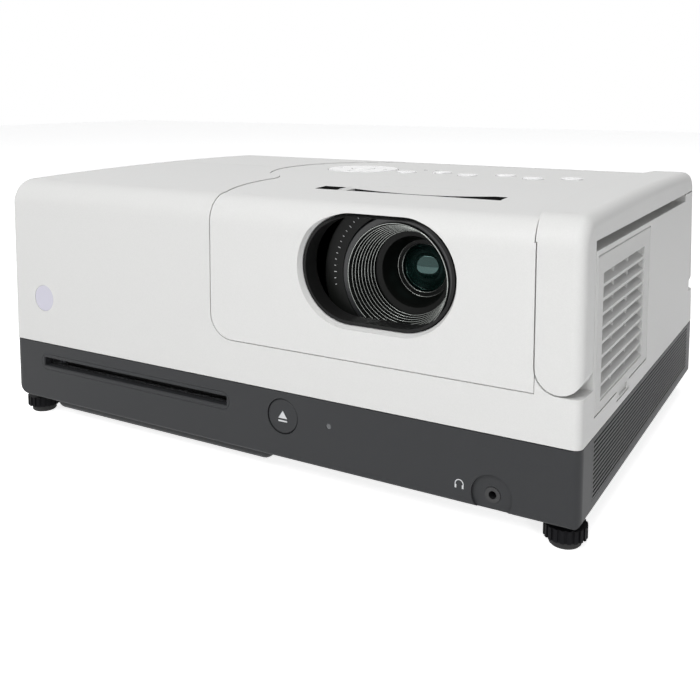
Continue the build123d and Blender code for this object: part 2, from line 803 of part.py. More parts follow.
with BuildPart() as base_cavity:
    add(base_form(base_wall, base_side_wall, split_z + 10))
    add(bulge_form(base_wall))
    with BuildSketch(Plane.XY.offset(foot_height)):
        with Locations(*screw_points):
            Circle(pillar_radius)
    extrude(amount=deck_z - 0.1 - foot_height, mode=Mode.SUBTRACT)
    with BuildSketch(Plane.XY.offset(foot_height)):
        with Locations((-front_foot_x, front_foot_y), (front_foot_x, front_foot_y)):
            Circle(bush_radius)
    extrude(amount=19, mode=Mode.SUBTRACT)
    with BuildSketch(Plane.XZ.offset(-front_board_y + 0.1)):
        with Locations(*front_board_posts):
            Circle(2.6)
    extrude(amount=20, mode=Mode.SUBTRACT)
    with BuildSketch(Plane.XZ.offset(-front - base_wall - 2)):
        with Locations((jack_x, jack_z)):
            Circle(jack_dish_radius + 1.5)
    extrude(amount=10, mode=Mode.SUBTRACT)

with BuildPart() as base_shell:
    add(base_form(0.0, 0.0, split_z - split_gap))
    add(bulge_form(0.0))
    with BuildSketch(Plane.XY.offset(rear_pad_height)):
        with Locations((-rear_foot_x, rear_foot_y), (rear_foot_x, rear_foot_y)):
            Circle(rear_foot_radius + 1)
    extrude(amount=foot_height - rear_pad_height + 1)
    add(base_cavity.part, mode=Mode.SUBTRACT)
    # tongue that runs inside the foot of the white case
    with BuildSketch(Plane.XY.offset(split_z - split_gap - 4)):
        RectangleRounded(body_width - 2 * case_wall + 0.2, body_depth - 2 * case_wall + 0.2, 2.6)
        RectangleRounded(body_width - 2 * case_wall - 4, body_depth - 2 * case_wall - 4, 1,
                         mode=Mode.SUBTRACT)
    extrude(amount=4)
    with BuildSketch(Plane.XY.offset(split_z - split_gap)):
        with Locations((0, -0.5)):
            RectangleRounded(body_width - 2 * case_wall - 0.6, body_depth - 2 * case_wall - 1.6, 2.2)
        RectangleRounded(body_width - 2 * case_wall - 4, body_depth - 2 * case_wall - 4, 1,
                         mode=Mode.SUBTRACT)
    extrude(amount=4)
    # holes in the front
    with BuildSketch(Plane.XZ.offset(-front + 5)):
        with Locations((slot_x, slot_z)):
            SlotOverall(bezel_width + 0.3, bezel_height + 0.3)
    extrude(amount=-12, mode=Mode.SUBTRACT)
    add(front_hole(eject_x, eject_z, eject_radius + 0.25), mode=Mode.SUBTRACT)
    add(front_hole(disc_light_x, eject_z, disc_light_radius + 0.1), mode=Mode.SUBTRACT)
    add(front_hole(jack_x, jack_z, jack_radius + 0.1), mode=Mode.SUBTRACT)
    with BuildSketch(Plane.XZ.offset(-front - jack_dish_depth)):
        with Locations((jack_x, jack_z)):
            Circle(jack_dish_radius)
    extrude(amount=5, mode=Mode.SUBTRACT)
    # recesses and sound holes for the speaker grilles
    for way, low_z in ((-1, grille_left_low_z), (1, grille_low_z)):
        with BuildSketch(Plane.YZ.offset(way * (half_width - grille_thick - 0.2))):
            with Locations((grille_mid_y, (low_z + grille_high_z) / 2)):
                Rectangle(grille_length + 0.4, grille_high_z - low_z + 0.4)
        extrude(amount=way * 10, mode=Mode.SUBTRACT)
        with BuildSketch(Plane.YZ.offset(way * (half_width - 10))):
            with Locations((speaker_y, (low_z + grille_high_z) / 2)):
                Circle(speaker_radius - 3)
        extrude(amount=way * 12, mode=Mode.SUBTRACT)
    # foot bushes, screw holes with sunk heads
    with BuildSketch(Plane.XY):
        with Locations((-front_foot_x, front_foot_y), (front_foot_x, front_foot_y)):
            Circle(stud_radius + pin_clearance)
    extrude(amount=50, mode=Mode.SUBTRACT)
    with BuildSketch(Plane.XY):
        with Locations(*screw_points):
            Circle(screw_radius + screw_hole_gap)
    extrude(amount=deck_z + 1, mode=Mode.SUBTRACT)
    with BuildSketch(Plane.XY):
        with Locations(*screw_points):
            Circle(screw_head_radius + screw_hole_gap)
    extrude(amount=foot_height + screw_head_height + 1.4, mode=Mode.SUBTRACT)
    # air slots in the floor under the power supply
    with BuildSketch(Plane.XY.offset(foot_height - 1)):
        with Locations((75, speaker_y)):
            with GridLocations(0, 7, 1, 8):
                SlotOverall(70, 2.6)
    extrude(amount=base_floor + 2, mode=Mode.SUBTRACT)
save(base_shell.part, "base_shell")


def speaker_grille(way, low_z, name):
    """Ribbed cover of a speaker: long level grooves, open through over the speaker."""
    outer_x = way * half_width
    with BuildPart() as grille:
        with BuildSketch(Plane.YZ.offset(outer_x - way * grille_thick)):
            with Locations((grille_mid_y, (low_z + grille_high_z) / 2)):
                Rectangle(grille_length, grille_high_z - low_z)
        extrude(amount=way * grille_thick)
        with BuildSketch(Plane.YZ.offset(outer_x - way * 1.1)):
            with Locations(*[(grille_mid_y, row_z) for row_z in grille_rows(low_z)]):
                Rectangle(grille_length - 3, grille_slot_height)
        extrude(amount=way * 3, mode=Mode.SUBTRACT)
        with BuildSketch(Plane.YZ.offset(outer_x - way * (grille_thick + 1))):
            with Locations((speaker_y, (low_z + grille_high_z) / 2)):
                Circle(speaker_radius - 3)
        extrude(amount=way * 2, mode=Mode.SUBTRACT)
    save(grille.part, name)


def speaker(way, low_z, name):
    """Small round loudspeaker behind its grille: flange, cone, basket and magnet."""
    mid_z = (low_z + grille_high_z) / 2
    frame_x = way * (half_width - base_side_wall - fit_gap)
    cone_plane = Plane(origin=(frame_x, speaker_y, mid_z), x_dir=(-way, 0, 0), z_dir=(0, 1, 0))
    with BuildPart() as driver:
        with BuildSketch(cone_plane):
            with BuildLine():
                Polyline((0, speaker_radius), (0, speaker_radius - 1.5), (3.5, 4), (2.5, 0),
                         (speaker_depth, 0), (speaker_depth, 7.5), (8, 7.5), (7, 5.5),
                         (1.5, speaker_radius - 1), (1.5, speaker_radius), close=True)
            make_face()
        revolve(axis=Axis((frame_x, speaker_y, mid_z), (1, 0, 0)))
        with BuildSketch(Plane.YZ.offset(frame_x)):
            with Locations((speaker_y, mid_z)):
                Rectangle(2 * speaker_radius + 8, min(2 * speaker_radius, grille_high_z - low_z) - 1)
                Circle(speaker_radius - 2, mode=Mode.SUBTRACT)
        extrude(amount=-way * 1.4)
    save(driver.part, name)


speaker_grille(-1, grille_left_low_z, "speaker_grille_left")
speaker_grille(1, grille_low_z, "speaker_grille_right")
speaker(-1, grille_left_low_z, "speaker_left")
speaker(1, grille_low_z, "speaker_right")

# ---------------------------------------------------------------- front controls
with BuildPart() as slot_bezel:
    with BuildSketch(Plane.XZ.offset(-front - bezel_depth)):
        with Locations((slot_x, slot_z)):
            SlotOverall(bezel_width, bezel_height)
            Rectangle(slot_width, slot_height, mode=Mode.SUBTRACT)
    extrude(amount=bezel_depth)
    with BuildSketch(Plane.XZ.offset(-front - bezel_depth)):
        with Locations((slot_x, slot_z)):
            SlotOverall(bezel_width + 4, bezel_height + 4)
            Rectangle(slot_width, slot_height, mode=Mode.SUBTRACT)
    extrude(amount=bezel_depth - base_wall - 0.2)
    lips = slot_bezel.faces().sort_by(Axis.Y)[0].inner_wires()[0].edges()
    chamfer(lips, 0.5)
save(slot_bezel.part, "slot_bezel")

inner_front_y = front + base_wall
with BuildPart() as eject_button:
    with BuildSketch(Plane.XZ.offset(-front_board_y + eject_travel + 0.3)):
        with Locations((eject_x, eject_z)):
            Circle(2.2)
    extrude(amount=front_board_y - eject_travel - 0.3 - inner_front_y)
    with BuildSketch(Plane.XZ.offset(-inner_front_y - 1.5)):
        with Locations((eject_x, eject_z)):
            Rectangle(2 * eject_radius + 3.5, 2 * eject_radius - 3.5)
    extrude(amount=1.2)
    with BuildSketch(Plane.XZ.offset(-inner_front_y - 1)):
        with Locations((eject_x, eject_z)):
            Circle(eject_radius)
    extrude(amount=base_wall + 1 - 0.3)
    chamfer(eject_button.faces().sort_by(Axis.Y)[0].edges(), 0.5)
save(eject_button.part, "eject_button")

with BuildPart() as disc_light:
    with BuildSketch(Plane.XZ.offset(-front - 0.2)):
        with Locations((disc_light_x, eject_z)):
            Circle(disc_light_radius)
    extrude(amount=-(front_board_y - front - 0.3))
save(disc_light.part, "disc_light")

jack_front_y = front + jack_dish_depth - 0.3
with BuildPart() as headphone_jack:
    with BuildSketch(Plane.XZ.offset(-jack_front_y)):
        with Locations((jack_x, jack_z)):
            Circle(jack_radius)
    extrude(amount=-6)
    with BuildSketch(Plane.XZ.offset(-(inner_front_y + 2.2))):
        with Locations((jack_x, jack_z)):
            Rectangle(11.5, 7.2)
    extrude(amount=-(jack_bore_length - 3.2))
    with BuildSketch(Plane.XZ.offset(-jack_front_y)):
        with Locations((jack_x, jack_z)):
            Circle(jack_bore_radius)
    extrude(amount=-jack_bore_length, mode=Mode.SUBTRACT)
save(headphone_jack.part, "headphone_jack")

with BuildPart() as front_board:
    with BuildSketch(Plane.XZ.offset(-front_board_y)):
        with Locations(((eject_x - 15.2 + jack_x + 13) / 2, 30.5)):
            Rectangle(jack_x + 13 - eject_x + 15.2, 30)
        with Locations((jack_x, jack_z)):
            Rectangle(12.1, 12.1, mode=Mode.SUBTRACT)
    extrude(amount=-1.6)
    with BuildSketch(Plane.XZ.offset(-front_board_y - 1.6)):
        with Locations((40, 26), (95, 30)):
            Rectangle(12, 8)
    extrude(amount=-2.5)
save(front_board.part, "front_board")

with BuildPart() as infrared_window:
    with BuildSketch(Plane.XZ.offset(-(front + front_lean * 0.3 + 0.2))):
        with Locations((receiver_x, receiver_z)):
            Circle(receiver_radius)
    extrude(amount=-3)
    with BuildSketch(Plane.XZ.offset(-(front + case_wall + 0.6))):
        with Locations((receiver_x, receiver_z)):
            Circle(receiver_radius + 1.5)
    extrude(amount=-1.2)
save(infrared_window.part, "infrared_window")

# ---------------------------------------------------------------- feet
dial_low_z = pad_foot_height + 0.3
foot_pin_radius = 2.5


def front_foot(foot_x, side_name):
    """Adjustable foot: a rubber pad that carries a knurled dial on a threaded stud."""
    with BuildPart() as pad:
        with BuildSketch():
            with Locations((foot_x, front_foot_y)):
                Circle(pad_foot_radius)
        extrude(amount=pad_foot_height)
        chamfer(pad.edges().group_by(Axis.Z)[0], 0.6)
        with BuildSketch(Plane.XY.offset(pad_foot_height)):
            with Locations((foot_x, front_foot_y)):
                Circle(foot_pin_radius)
        extrude(amount=4)
    save(pad.part, f"foot_pad_{side_name}")
    with BuildPart() as dial:
        with BuildSketch(Plane.XY.offset(dial_low_z)):
            with Locations((foot_x, front_foot_y)):
                Circle(dial_radius)
                with PolarLocations(dial_radius, dial_teeth):
                    Rectangle(1.3, 1.3, mode=Mode.SUBTRACT)
        extrude(amount=dial_height)
        with BuildSketch(Plane.XY.offset(dial_low_z)):
            with Locations((foot_x, front_foot_y)):
                Circle(stud_radius)
        extrude(amount=stud_height)
        with BuildSketch(Plane.XY.offset(dial_low_z)):
            with Locations((foot_x, front_foot_y)):
                Circle(foot_pin_radius + pin_clearance)
        extrude(amount=4.2, mode=Mode.SUBTRACT)
    save(dial.part, f"foot_dial_{side_name}")


front_foot(-front_foot_x, "left")
front_foot(front_foot_x, "right")

with BuildPart() as rear_feet:
    with BuildSketch():
        with Locations((-rear_foot_x, rear_foot_y), (rear_foot_x, rear_foot_y)):
            Circle(rear_foot_radius)
    extrude(amount=rear_pad_height)
    chamfer(rear_feet.edges().group_by(Axis.Z)[0], 0.6)
save(rear_feet.part, "rear_feet")

with BuildPart() as case_screws:
    head_z = foot_height + 1.4
    with BuildSketch(Plane.XY.offset(head_z)):
        with Locations(*screw_points):
            Circle(screw_head_radius)
    extrude(amount=screw_head_height)
    with BuildSketch(Plane.XY.offset(head_z)):
        with Locations(*screw_points):
            RegularPolygon(1.5, 6)
    extrude(amount=1.4, mode=Mode.SUBTRACT)
    with BuildSketch(Plane.XY.offset(head_z + screw_head_height)):
        with Locations(*screw_points):
            Circle(screw_radius - pin_clearance)
    extrude(amount=deck_top + boss_height - 2 - head_z - screw_head_height)
save(case_screws.part, "case_screws")

# ---------------------------------------------------------------- middle deck
with BuildPart() as middle_deck:
    with BuildSketch(Plane.XY.offset(deck_z)):
        with Locations((-6.3, -6)):
            RectangleRounded(body_width - deck_side_room, body_depth - deck_end_room, 4)
        with Locations((95, 62)):
            RectangleRounded(50, 60, 5, mode=Mode.SUBTRACT)
        with Locations((-110, -60)):
            RectangleRounded(70, 60, 5, mode=Mode.SUBTRACT)
        with Locations(*screw_points):
            Circle(screw_radius + screw_hole_gap, mode=Mode.SUBTRACT)
    extrude(amount=deck_thick)
    with BuildSketch(Plane.XY.offset(deck_top)):
        with Locations(*[(x, y) for x in (-52, 12) for y in (front + 39, rear - 35)]):
            Circle(3)
    extrude(amount=4.5)
save(middle_deck.part, "middle_deck")

board_z = deck_top + 4.5 + 0.1
with BuildPart() as main_board:
    with BuildSketch(Plane.XY.offset(board_z)):
        with Locations((-20, 2)):
            Rectangle(78, body_depth - 60)
    extrude(amount=1.6)
    for chip_x, chip_y, chip_width, chip_length, chip_height in (
            (-20, -40, 30, 30, 6), (-30, 20, 18, 18, 2.5), (-2, 10, 14, 22, 2.5), (-36, 70, 20, 26, 9),
            (5, 60, 12, 30, 7), (-40, -75, 12, 8, 8)):
        with BuildSketch(Plane.XY.offset(board_z + 1.6)):
            with Locations((chip_x, chip_y)):
                Rectangle(chip_width, chip_length)
        extrude(amount=chip_height)
save(main_board.part, "main_board")

with BuildPart() as power_supply:
    supply_z = foot_height + base_floor + 0.3
    supply_y = rear - 63
    with BuildSketch(Plane.XY.offset(supply_z)):
        with Locations((78, supply_y)):
            Rectangle(100, 80)
    extrude(amount=36)
    vertical = power_supply.edges().filter_by(Axis.Z)
    fillet(vertical, 2)
    with BuildSketch(Plane.XY.offset(supply_z + 34)):
        with Locations((78, supply_y)):
            with GridLocations(12, 0, 7, 1):
                SlotOverall(60, 4, rotation=90)
    extrude(amount=5, mode=Mode.SUBTRACT)
save(power_supply.part, "power_supply")

# ---------------------------------------------------------------- lens
lens_plane = Plane(origin=(lens_x, 0, lens_z), x_dir=(0, 1, 0), z_dir=(1, 0, 0))
lens_axis = Axis((lens_x, 0, lens_z), (0, 1, 0))
barrel_front_y = ring_front_y - 1.0


def lens_ring(start_y, length, radius, bevel):
    """Plain turned ring that runs on the lens barrel."""
    bore = barrel_radius + ring_clearance
    with BuildPart() as ring:
        with BuildSketch(lens_plane):
            with BuildLine():
                Polyline((start_y, bore), (start_y, radius - bevel), (start_y + bevel, radius),
                         (start_y + length, radius), (start_y + length, bore), close=True)
            make_face()
        revolve(axis=lens_axis)
    return ring.part


with BuildPart() as focus_ring:
    add(lens_ring(ring_front_y, focus_length, focus_radius, 0.8))
    with BuildSketch(Plane.XZ.offset(-(ring_front_y + 4))):
        with Locations((lens_x, lens_z)):
            with PolarLocations(focus_radius, grip_count):
                Rectangle(2 * grip_depth, grip_width)
    extrude(amount=-focus_length, mode=Mode.SUBTRACT)
save(focus_ring.part, "focus_ring")

zoom_front_y = ring_front_y + focus_length + 0.4
with BuildPart() as zoom_ring:
    add(lens_ring(zoom_front_y, zoom_length, zoom_radius, 0.6))
    with BuildSketch(Plane.XZ.offset(-(zoom_front_y + 2))):
        with Locations((lens_x, lens_z)):
            with PolarLocations(zoom_radius, grip_count):
                Rectangle(2 * grip_depth, grip_width)
    extrude(amount=-(zoom_length - 4), mode=Mode.SUBTRACT)
save(zoom_ring.part, "zoom_ring")

step_ends = [barrel_front_y + step * hood_step_depth for step in range(hood_steps + 1)]
step_radii = [barrel_radius - 0.9 - step * hood_step_width for step in range(hood_steps)]
thread_radius = step_radii[-1]
glass_seat_y = barrel_front_y + glass_depth
with BuildPart() as lens_barrel:
    with BuildSketch(lens_plane):
        with BuildLine():
            outline = [(barrel_front_y, barrel_radius), (barrel_front_y, step_radii[0])]
            for step in range(hood_steps - 1):
                outline.append((step_ends[step + 1], step_radii[step]))
                outline.append((step_ends[step + 1], step_radii[step + 1]))
            outline += [(step_ends[-1] + 3, thread_radius), (step_ends[-1] + 3, throat_radius + 2.5),
                        (glass_seat_y - 3.5, throat_radius), (glass_seat_y - 3.5, glass_radius + 0.1),
                        (glass_seat_y + 3.5, glass_radius + 0.1), (glass_seat_y + 3.5, glass_radius - 2),
                        (barrel_front_y + barrel_length, glass_radius - 2),
                        (barrel_front_y + barrel_length, barrel_radius)]
            Polyline(*outline, close=True)
        make_face()
    revolve(axis=lens_axis)
save(lens_barrel.part, "lens_barrel")

with BuildPart() as front_lens:
    with BuildSketch(lens_plane):
        with BuildLine():
            face_arc = TangentArc((glass_seat_y - 4.8, 0), (glass_seat_y - 1.6, glass_radius), tangent=(0, 1))
            back_arc = TangentArc((glass_seat_y + 1.6, 0), (glass_seat_y + 3.2, glass_radius), tangent=(0, 1))
            Line(face_arc @ 1, back_arc @ 1)
            Line(back_arc @ 0, face_arc @ 0)
        make_face()
    revolve(axis=lens_axis)
save(front_lens.part, "front_lens")

mount_y = barrel_front_y + barrel_length - 9
with BuildPart() as lens_mount:
    with BuildSketch(Plane.XZ.offset(-mount_y)):
        with Locations((lens_x, lens_z)):
            RectangleRounded(68, 58, 6)
            Circle(barrel_radius + 0.1, mode=Mode.SUBTRACT)
            with GridLocations(56, 46, 2, 2):
                Circle(1.7, mode=Mode.SUBTRACT)
    extrude(amount=-8.8)
save(lens_mount.part, "lens_mount")

engine_front_y = mount_y + 9.0
with BuildPart() as light_engine:
    with BuildSketch(Plane.XY.offset(deck_top + 0.3)):
        with Locations((lens_x, engine_front_y + 54)):
            Rectangle(92, 108)
    extrude(amount=68)
    fillet(light_engine.edges().filter_by(Axis.Z), 6)
    with BuildSketch(Plane.XY.offset(deck_top + 64)):
        with Locations((lens_x, engine_front_y + 60)):
            with GridLocations(9, 0, 8, 1):
                Rectangle(4.5, 60)
    extrude(amount=10, mode=Mode.SUBTRACT)
    # relay tube towards the lamp
    with BuildSketch(Plane.YZ.offset(lens_x - 40)):
        with Locations((fan_y - 12, fan_z + 2)):
            Circle(13)
    extrude(amount=lamp_x + 37.3 - lens_x + 40)
    # the lens looks into the block
    with BuildSketch(Plane.XZ.offset(-engine_front_y)):
        with Locations((lens_x, lens_z)):
            Circle(glass_radius - 2)
    extrude(amount=-20, mode=Mode.SUBTRACT)
save(light_engine.part, "light_engine")

# ---------------------------------------------------------------- lamp and exhaust fan
with BuildPart() as lamp_housing:
    with BuildSketch(Plane.XY.offset(deck_top + 0.3)):
        with Locations((lamp_x, fan_y)):
            Rectangle(74, 72)
    extrude(amount=70)
    fillet(lamp_housing.edges().filter_by(Axis.Z), 3)
    with BuildSketch(Plane.YZ.offset(lamp_x - 38)):
        with Locations((fan_y, fan_z + 1)):
            Rectangle(60, 58)
    extrude(amount=30, mode=Mode.SUBTRACT)
    with BuildSketch(Plane.YZ.offset(lamp_x - 9)):
        with Locations((fan_y, fan_z + 2)):
            Circle(20)
    extrude(amount=36, taper=22, mode=Mode.SUBTRACT)
    with BuildSketch(Plane.YZ.offset(lamp_x + 17)):
        with Locations((fan_y - 12, fan_z + 2)):
            Circle(10)
    extrude(amount=30, mode=Mode.SUBTRACT)
save(lamp_housing.part, "lamp_housing")

fan_outer_x = -half_width + case_wall + ledge_wall + 0.6
with BuildPart() as fan_frame:
    with BuildSketch(Plane.YZ.offset(fan_outer_x)):
        with Locations((fan_y, fan_z)):
            RectangleRounded(fan_size, fan_size, 4)
            Circle(fan_size / 2 - 2.5, mode=Mode.SUBTRACT)
            with GridLocations(fan_size - 8, fan_size - 8, 2, 2):
                Circle(2, mode=Mode.SUBTRACT)
    extrude(amount=fan_thick)
    with BuildSketch(Plane.YZ.offset(fan_outer_x + fan_thick - 2)):
        with Locations((fan_y, fan_z)):
            Circle(13)
            with PolarLocations(22, 4, 45):
                Rectangle(24, 3)
            Circle(1.5 + pin_clearance, mode=Mode.SUBTRACT)
    extrude(amount=2)
save(fan_frame.part, "fan_frame")

with BuildPart() as fan_rotor:
    with BuildSketch(Plane.YZ.offset(fan_outer_x + 1)):
        with Locations((fan_y, fan_z)):
            Circle(13)
    extrude(amount=fan_thick - 3.6)
    with BuildSketch(Plane.YZ.offset(fan_outer_x + 1)):
        with Locations((fan_y, fan_z)):
            Circle(1.5)
    extrude(amount=fan_thick - 1.4)
    with BuildSketch(Plane.YZ.offset(fan_outer_x + 2)):
        with Locations((fan_y, fan_z)):
            with PolarLocations(0, 7):
                with Locations((21, 4)):
                    Rectangle(18, 1.6, rotation=24)
    extrude(amount=fan_thick - 5.5)
save(fan_rotor.part, "fan_rotor")

# ---------------------------------------------------------------- lens cover inner parts
liner_front_y = front + window_flare_depth - 0.8
with BuildPart() as liner_outer:
    with BuildSketch(Plane.XZ.offset(-liner_front_y)):
        with Locations((window_x, window_z)):
            SlotOverall(window_width - 1.2, window_height - 1.2)
            SlotOverall(window_width - 1.2 - 2 * liner_wall, window_height - 1.2 - 2 * liner_wall,
                        mode=Mode.SUBTRACT)
    extrude(amount=-(liner_rear_y - liner_front_y))

with BuildPart() as liner_limit:
    add(case_form(cover_inset + cover_wall + fit_gap, low=5))

with BuildPart() as lens_liner:
    add(liner_outer.part)
    with BuildSketch(Plane.XZ.offset(-liner_rear_y)):
        with Locations((33, 107)):
            Rectangle(178, 56)
        with Locations((window_x, window_z)):
            SlotOverall(window_width - 1.2 - 2 * liner_wall, window_height - 1.2 - 2 * liner_wall,
                        mode=Mode.SUBTRACT)
    extrude(amount=-liner_flange)
    with BuildSketch(Plane.YZ.offset(-56)):
        with BuildLine():
            Polyline((liner_rear_y, 79), (shutter_y + shutter_thick + 1.4, 79),
                     (shutter_y + shutter_thick + 1.4, 84), (shutter_y + shutter_thick + 0.3, 84),
                     (shutter_y + shutter_thick + 0.3, 81.2), (liner_rear_y, 81.2), close=True)
        make_face()
    extrude(amount=178)
    add(liner_limit.part, mode=Mode.INTERSECT)
save(lens_liner.part, "lens_liner")

shutter_low_z = 81.5
shutter_arm_z = 135.1
knob_start_x = knob_slot_left + knob_end_gap
knob_top_z = shutter_arm_z + 1.2 + knob_height
with BuildPart() as lens_shutter:
    with BuildSketch(Plane.XZ.offset(-shutter_y)):
        with Locations((window_x - shutter_travel, (shutter_low_z + shutter_arm_z + 1.2) / 2)):
            Rectangle(shutter_width, shutter_arm_z + 1.2 - shutter_low_z)
    extrude(amount=-shutter_thick)
    # arm back to the thumb slot
    with BuildSketch(Plane.XY.offset(shutter_arm_z)):
        with Locations((knob_start_x + knob_length / 2, (shutter_y + knob_y + knob_half) / 2)):
            Rectangle(10, knob_y + knob_half - shutter_y)
    extrude(amount=1.2)
    # thumb piece: a flat tongue with a raised ribbed end
    with BuildSketch(Plane.XZ.offset(-knob_y + knob_half)):
        with BuildLine():
            Polyline((knob_start_x, shutter_arm_z), (knob_start_x, knob_top_z - 3.2),
                     (knob_start_x + 5, knob_top_z - 2.4), (knob_start_x + 11, knob_top_z - 1.6),
                     (knob_start_x + knob_length - 3, knob_top_z),
                     (knob_start_x + knob_length, knob_top_z - 0.8),
                     (knob_start_x + knob_length, shutter_arm_z), close=True)
        make_face()
    extrude(amount=-2 * knob_half)
    with BuildSketch(Plane.XZ.offset(-knob_y + knob_half - 1.6)):
        with Locations((knob_start_x + 5.6, knob_top_z - 1.9), (knob_start_x + 8.4, knob_top_z - 1.5),
                       (knob_start_x + 11.2, knob_top_z - 1)):
            Rectangle(0.9, 1.2)
    extrude(amount=-2 * (knob_half - 1.6), mode=Mode.SUBTRACT)
save(lens_shutter.part, "lens_shutter")

# dark tray under the thumb slot, hung from two posts of the cover
with BuildPart() as shutter_track:
    with BuildSketch(Plane.XY.offset(track_low_z)):
        with Locations((crescent_x, knob_y)):
            Rectangle(2 * track_post_reach + 2 * track_post_radius, knob_slot_width + 6)
    extrude(amount=track_thick)
    with BuildSketch(Plane.XY.offset(track_top_z - 0.6)):
        with Locations((crescent_x, knob_y)):
            Rectangle(2 * track_post_reach - 2 * track_post_radius - 1, knob_slot_width + 4)
    extrude(amount=1, mode=Mode.SUBTRACT)
save(shutter_track.part, "shutter_track")

# ---------------------------------------------------------------- key field on the top
board_top_z = key_board_z + key_board_thick
gimbal_z = board_top_z + 1.7 + 0.6
gimbal_mid_z = gimbal_z + gimbal_thick / 2
gimbal_reach = gimbal_bearing + 0.8
with BuildPart() as key_board:
    with BuildSketch(Plane.XY.offset(key_board_z)):
        with Locations((40.5, 27)):
            RectangleRounded(181, 54, 2)
    extrude(amount=key_board_thick)
    with BuildSketch(Plane.XY.offset(board_top_z)):
        with Locations((pad_x, pad_y)):
            Circle(11)
            Circle(8.4, mode=Mode.SUBTRACT)
    extrude(amount=1.7)
    # two posts with the bearings of the gimbal
    with BuildSketch(Plane.XY.offset(board_top_z)):
        with Locations((pad_x - gimbal_bearing, pad_y), (pad_x + gimbal_bearing, pad_y)):
            Rectangle(2, 3)
    extrude(amount=gimbal_mid_z + 1 - board_top_z)
    with BuildSketch(Plane.YZ.offset(pad_x - pad_radius)):
        with Locations((pad_y, gimbal_mid_z)):
            Circle(gimbal_pin_radius + pin_clearance)
    extrude(amount=2 * pad_radius, mode=Mode.SUBTRACT)
    with BuildSketch(Plane.XY.offset(key_board_z)):
        with Locations((60, 12), (100, 40), (0, 48)):
            Rectangle(9, 6)
    extrude(amount=-2)
save(key_board.part, "key_board")

with BuildPart() as nav_gimbal:
    with BuildSketch(Plane.XY.offset(gimbal_z)):
        with Locations((pad_x, pad_y)):
            Circle(11)
    extrude(amount=gimbal_thick)
    # crossed pins: one pair turns in the board's posts, the other carries the ring
    with BuildSketch(Plane.YZ.offset(pad_x - gimbal_reach)):
        with Locations((pad_y, gimbal_mid_z)):
            Circle(gimbal_pin_radius)
    extrude(amount=2 * gimbal_reach)
    with BuildSketch(Plane.XZ.offset(-pad_y - gimbal_reach)):
        with Locations((pad_x, gimbal_mid_z)):
            Circle(gimbal_pin_radius)
    extrude(amount=2 * gimbal_reach)
    with BuildSketch(Plane.XY.offset(gimbal_z - 1)):
        with Locations((pad_x, pad_y)):
            Circle(8.4)
    extrude(amount=gimbal_thick + 2, mode=Mode.SUBTRACT)
save(nav_gimbal.part, "nav_gimbal")

ring_top_z = surface_z(pad_y) + 0.1
with BuildPart() as nav_ring:
    with BuildSketch(Plane.XY.offset(ring_top_z - 2.1)):
        with Locations((pad_x, pad_y)):
            Circle(pad_radius)
    extrude(amount=2.1)
    chamfer(nav_ring.faces().sort_by(Axis.Z)[-1].edges(), 0.5)
    with BuildSketch(Plane.XY.offset(gimbal_z + gimbal_thick + 0.6)):
        with Locations((pad_x, pad_y)):
            Circle(11)
    extrude(amount=ring_top_z - 2.1 - gimbal_z - gimbal_thick - 0.6)
    # two lugs that hang from the ring and turn on the gimbal's pins
    with BuildSketch(Plane.XY.offset(gimbal_z - 0.6)):
        with Locations((pad_x, pad_y - gimbal_bearing), (pad_x, pad_y + gimbal_bearing)):
            Rectangle(3, 2)
    extrude(amount=ring_top_z - 2.1 - gimbal_z + 0.7)
    with BuildSketch(Plane.XZ.offset(-pad_y - pad_radius)):
        with Locations((pad_x, gimbal_mid_z)):
            Circle(gimbal_pin_radius + pin_clearance)
    extrude(amount=2 * pad_radius, mode=Mode.SUBTRACT)
    with BuildSketch(Plane.XY.offset(gimbal_z)):
        with Locations((pad_x, pad_y)):
            Circle(enter_radius + 0.5)
    extrude(amount=10, mode=Mode.SUBTRACT)
    # direction marks pressed into the ring
    with BuildSketch(Plane.XY.offset(ring_top_z - 0.3)):
        with Locations((pad_x, pad_y)):
            with PolarLocations(16.5, 4):
                RegularPolygon(2.6, 3)
    extrude(amount=1, mode=Mode.SUBTRACT)
save(nav_ring.part, "nav_ring")

with BuildPart() as enter_key:
    with BuildSketch(Plane.XY.offset(ring_top_z - 2.6)):
        with Locations((pad_x, pad_y)):
            Circle(enter_radius)
    extrude(amount=2.9)
    chamfer(enter_key.faces().sort_by(Axis.Z)[-1].edges(), 0.5)
    with BuildSketch(Plane.XY.offset(board_top_z + key_travel + 0.2)):
        with Locations((pad_x, pad_y)):
            Circle(3)
    extrude(amount=ring_top_z - 2.6 - board_top_z - key_travel - 0.2)
save(enter_key.part, "enter_key")

for key_name, key_x, key_y in key_places:
    under_z = surface_z(key_y) - cover_inset - cover_wall
    cap_z = under_z - 0.2
    with BuildPart() as key:
        with BuildSketch(Plane.XY.offset(cap_z)):
            with Locations((key_x, key_y)):
                Circle(key_radius)
        extrude(amount=surface_z(key_y) + 0.3 - cap_z)
        chamfer(key.faces().sort_by(Axis.Z)[-1].edges(), 0.5)
        with BuildSketch(Plane.XY.offset(cap_z)):
            with Locations((key_x, key_y)):
                Rectangle(2 * key_radius + 2.4, 2 * key_radius + 2.4)
        extrude(amount=-1)
        with BuildSketch(Plane.XY.offset(cap_z - 1)):
            with Locations((key_x, key_y)):
                Rectangle(4.4, 4.4)
        extrude(amount=-(cap_z - 1 - board_top_z - key_travel - 0.2))
    save(key.part, key_name)

with BuildPart() as status_lights:
    for light_x, light_y in light_places:
        with BuildSketch(Plane.XY.offset(board_top_z + 0.1)):
            with Locations((light_x, light_y)):
                Circle(light_radius - 0.1)
        extrude(amount=surface_z(light_y) - cover_inset - board_top_z)
save(status_lights.part, "status_lights")

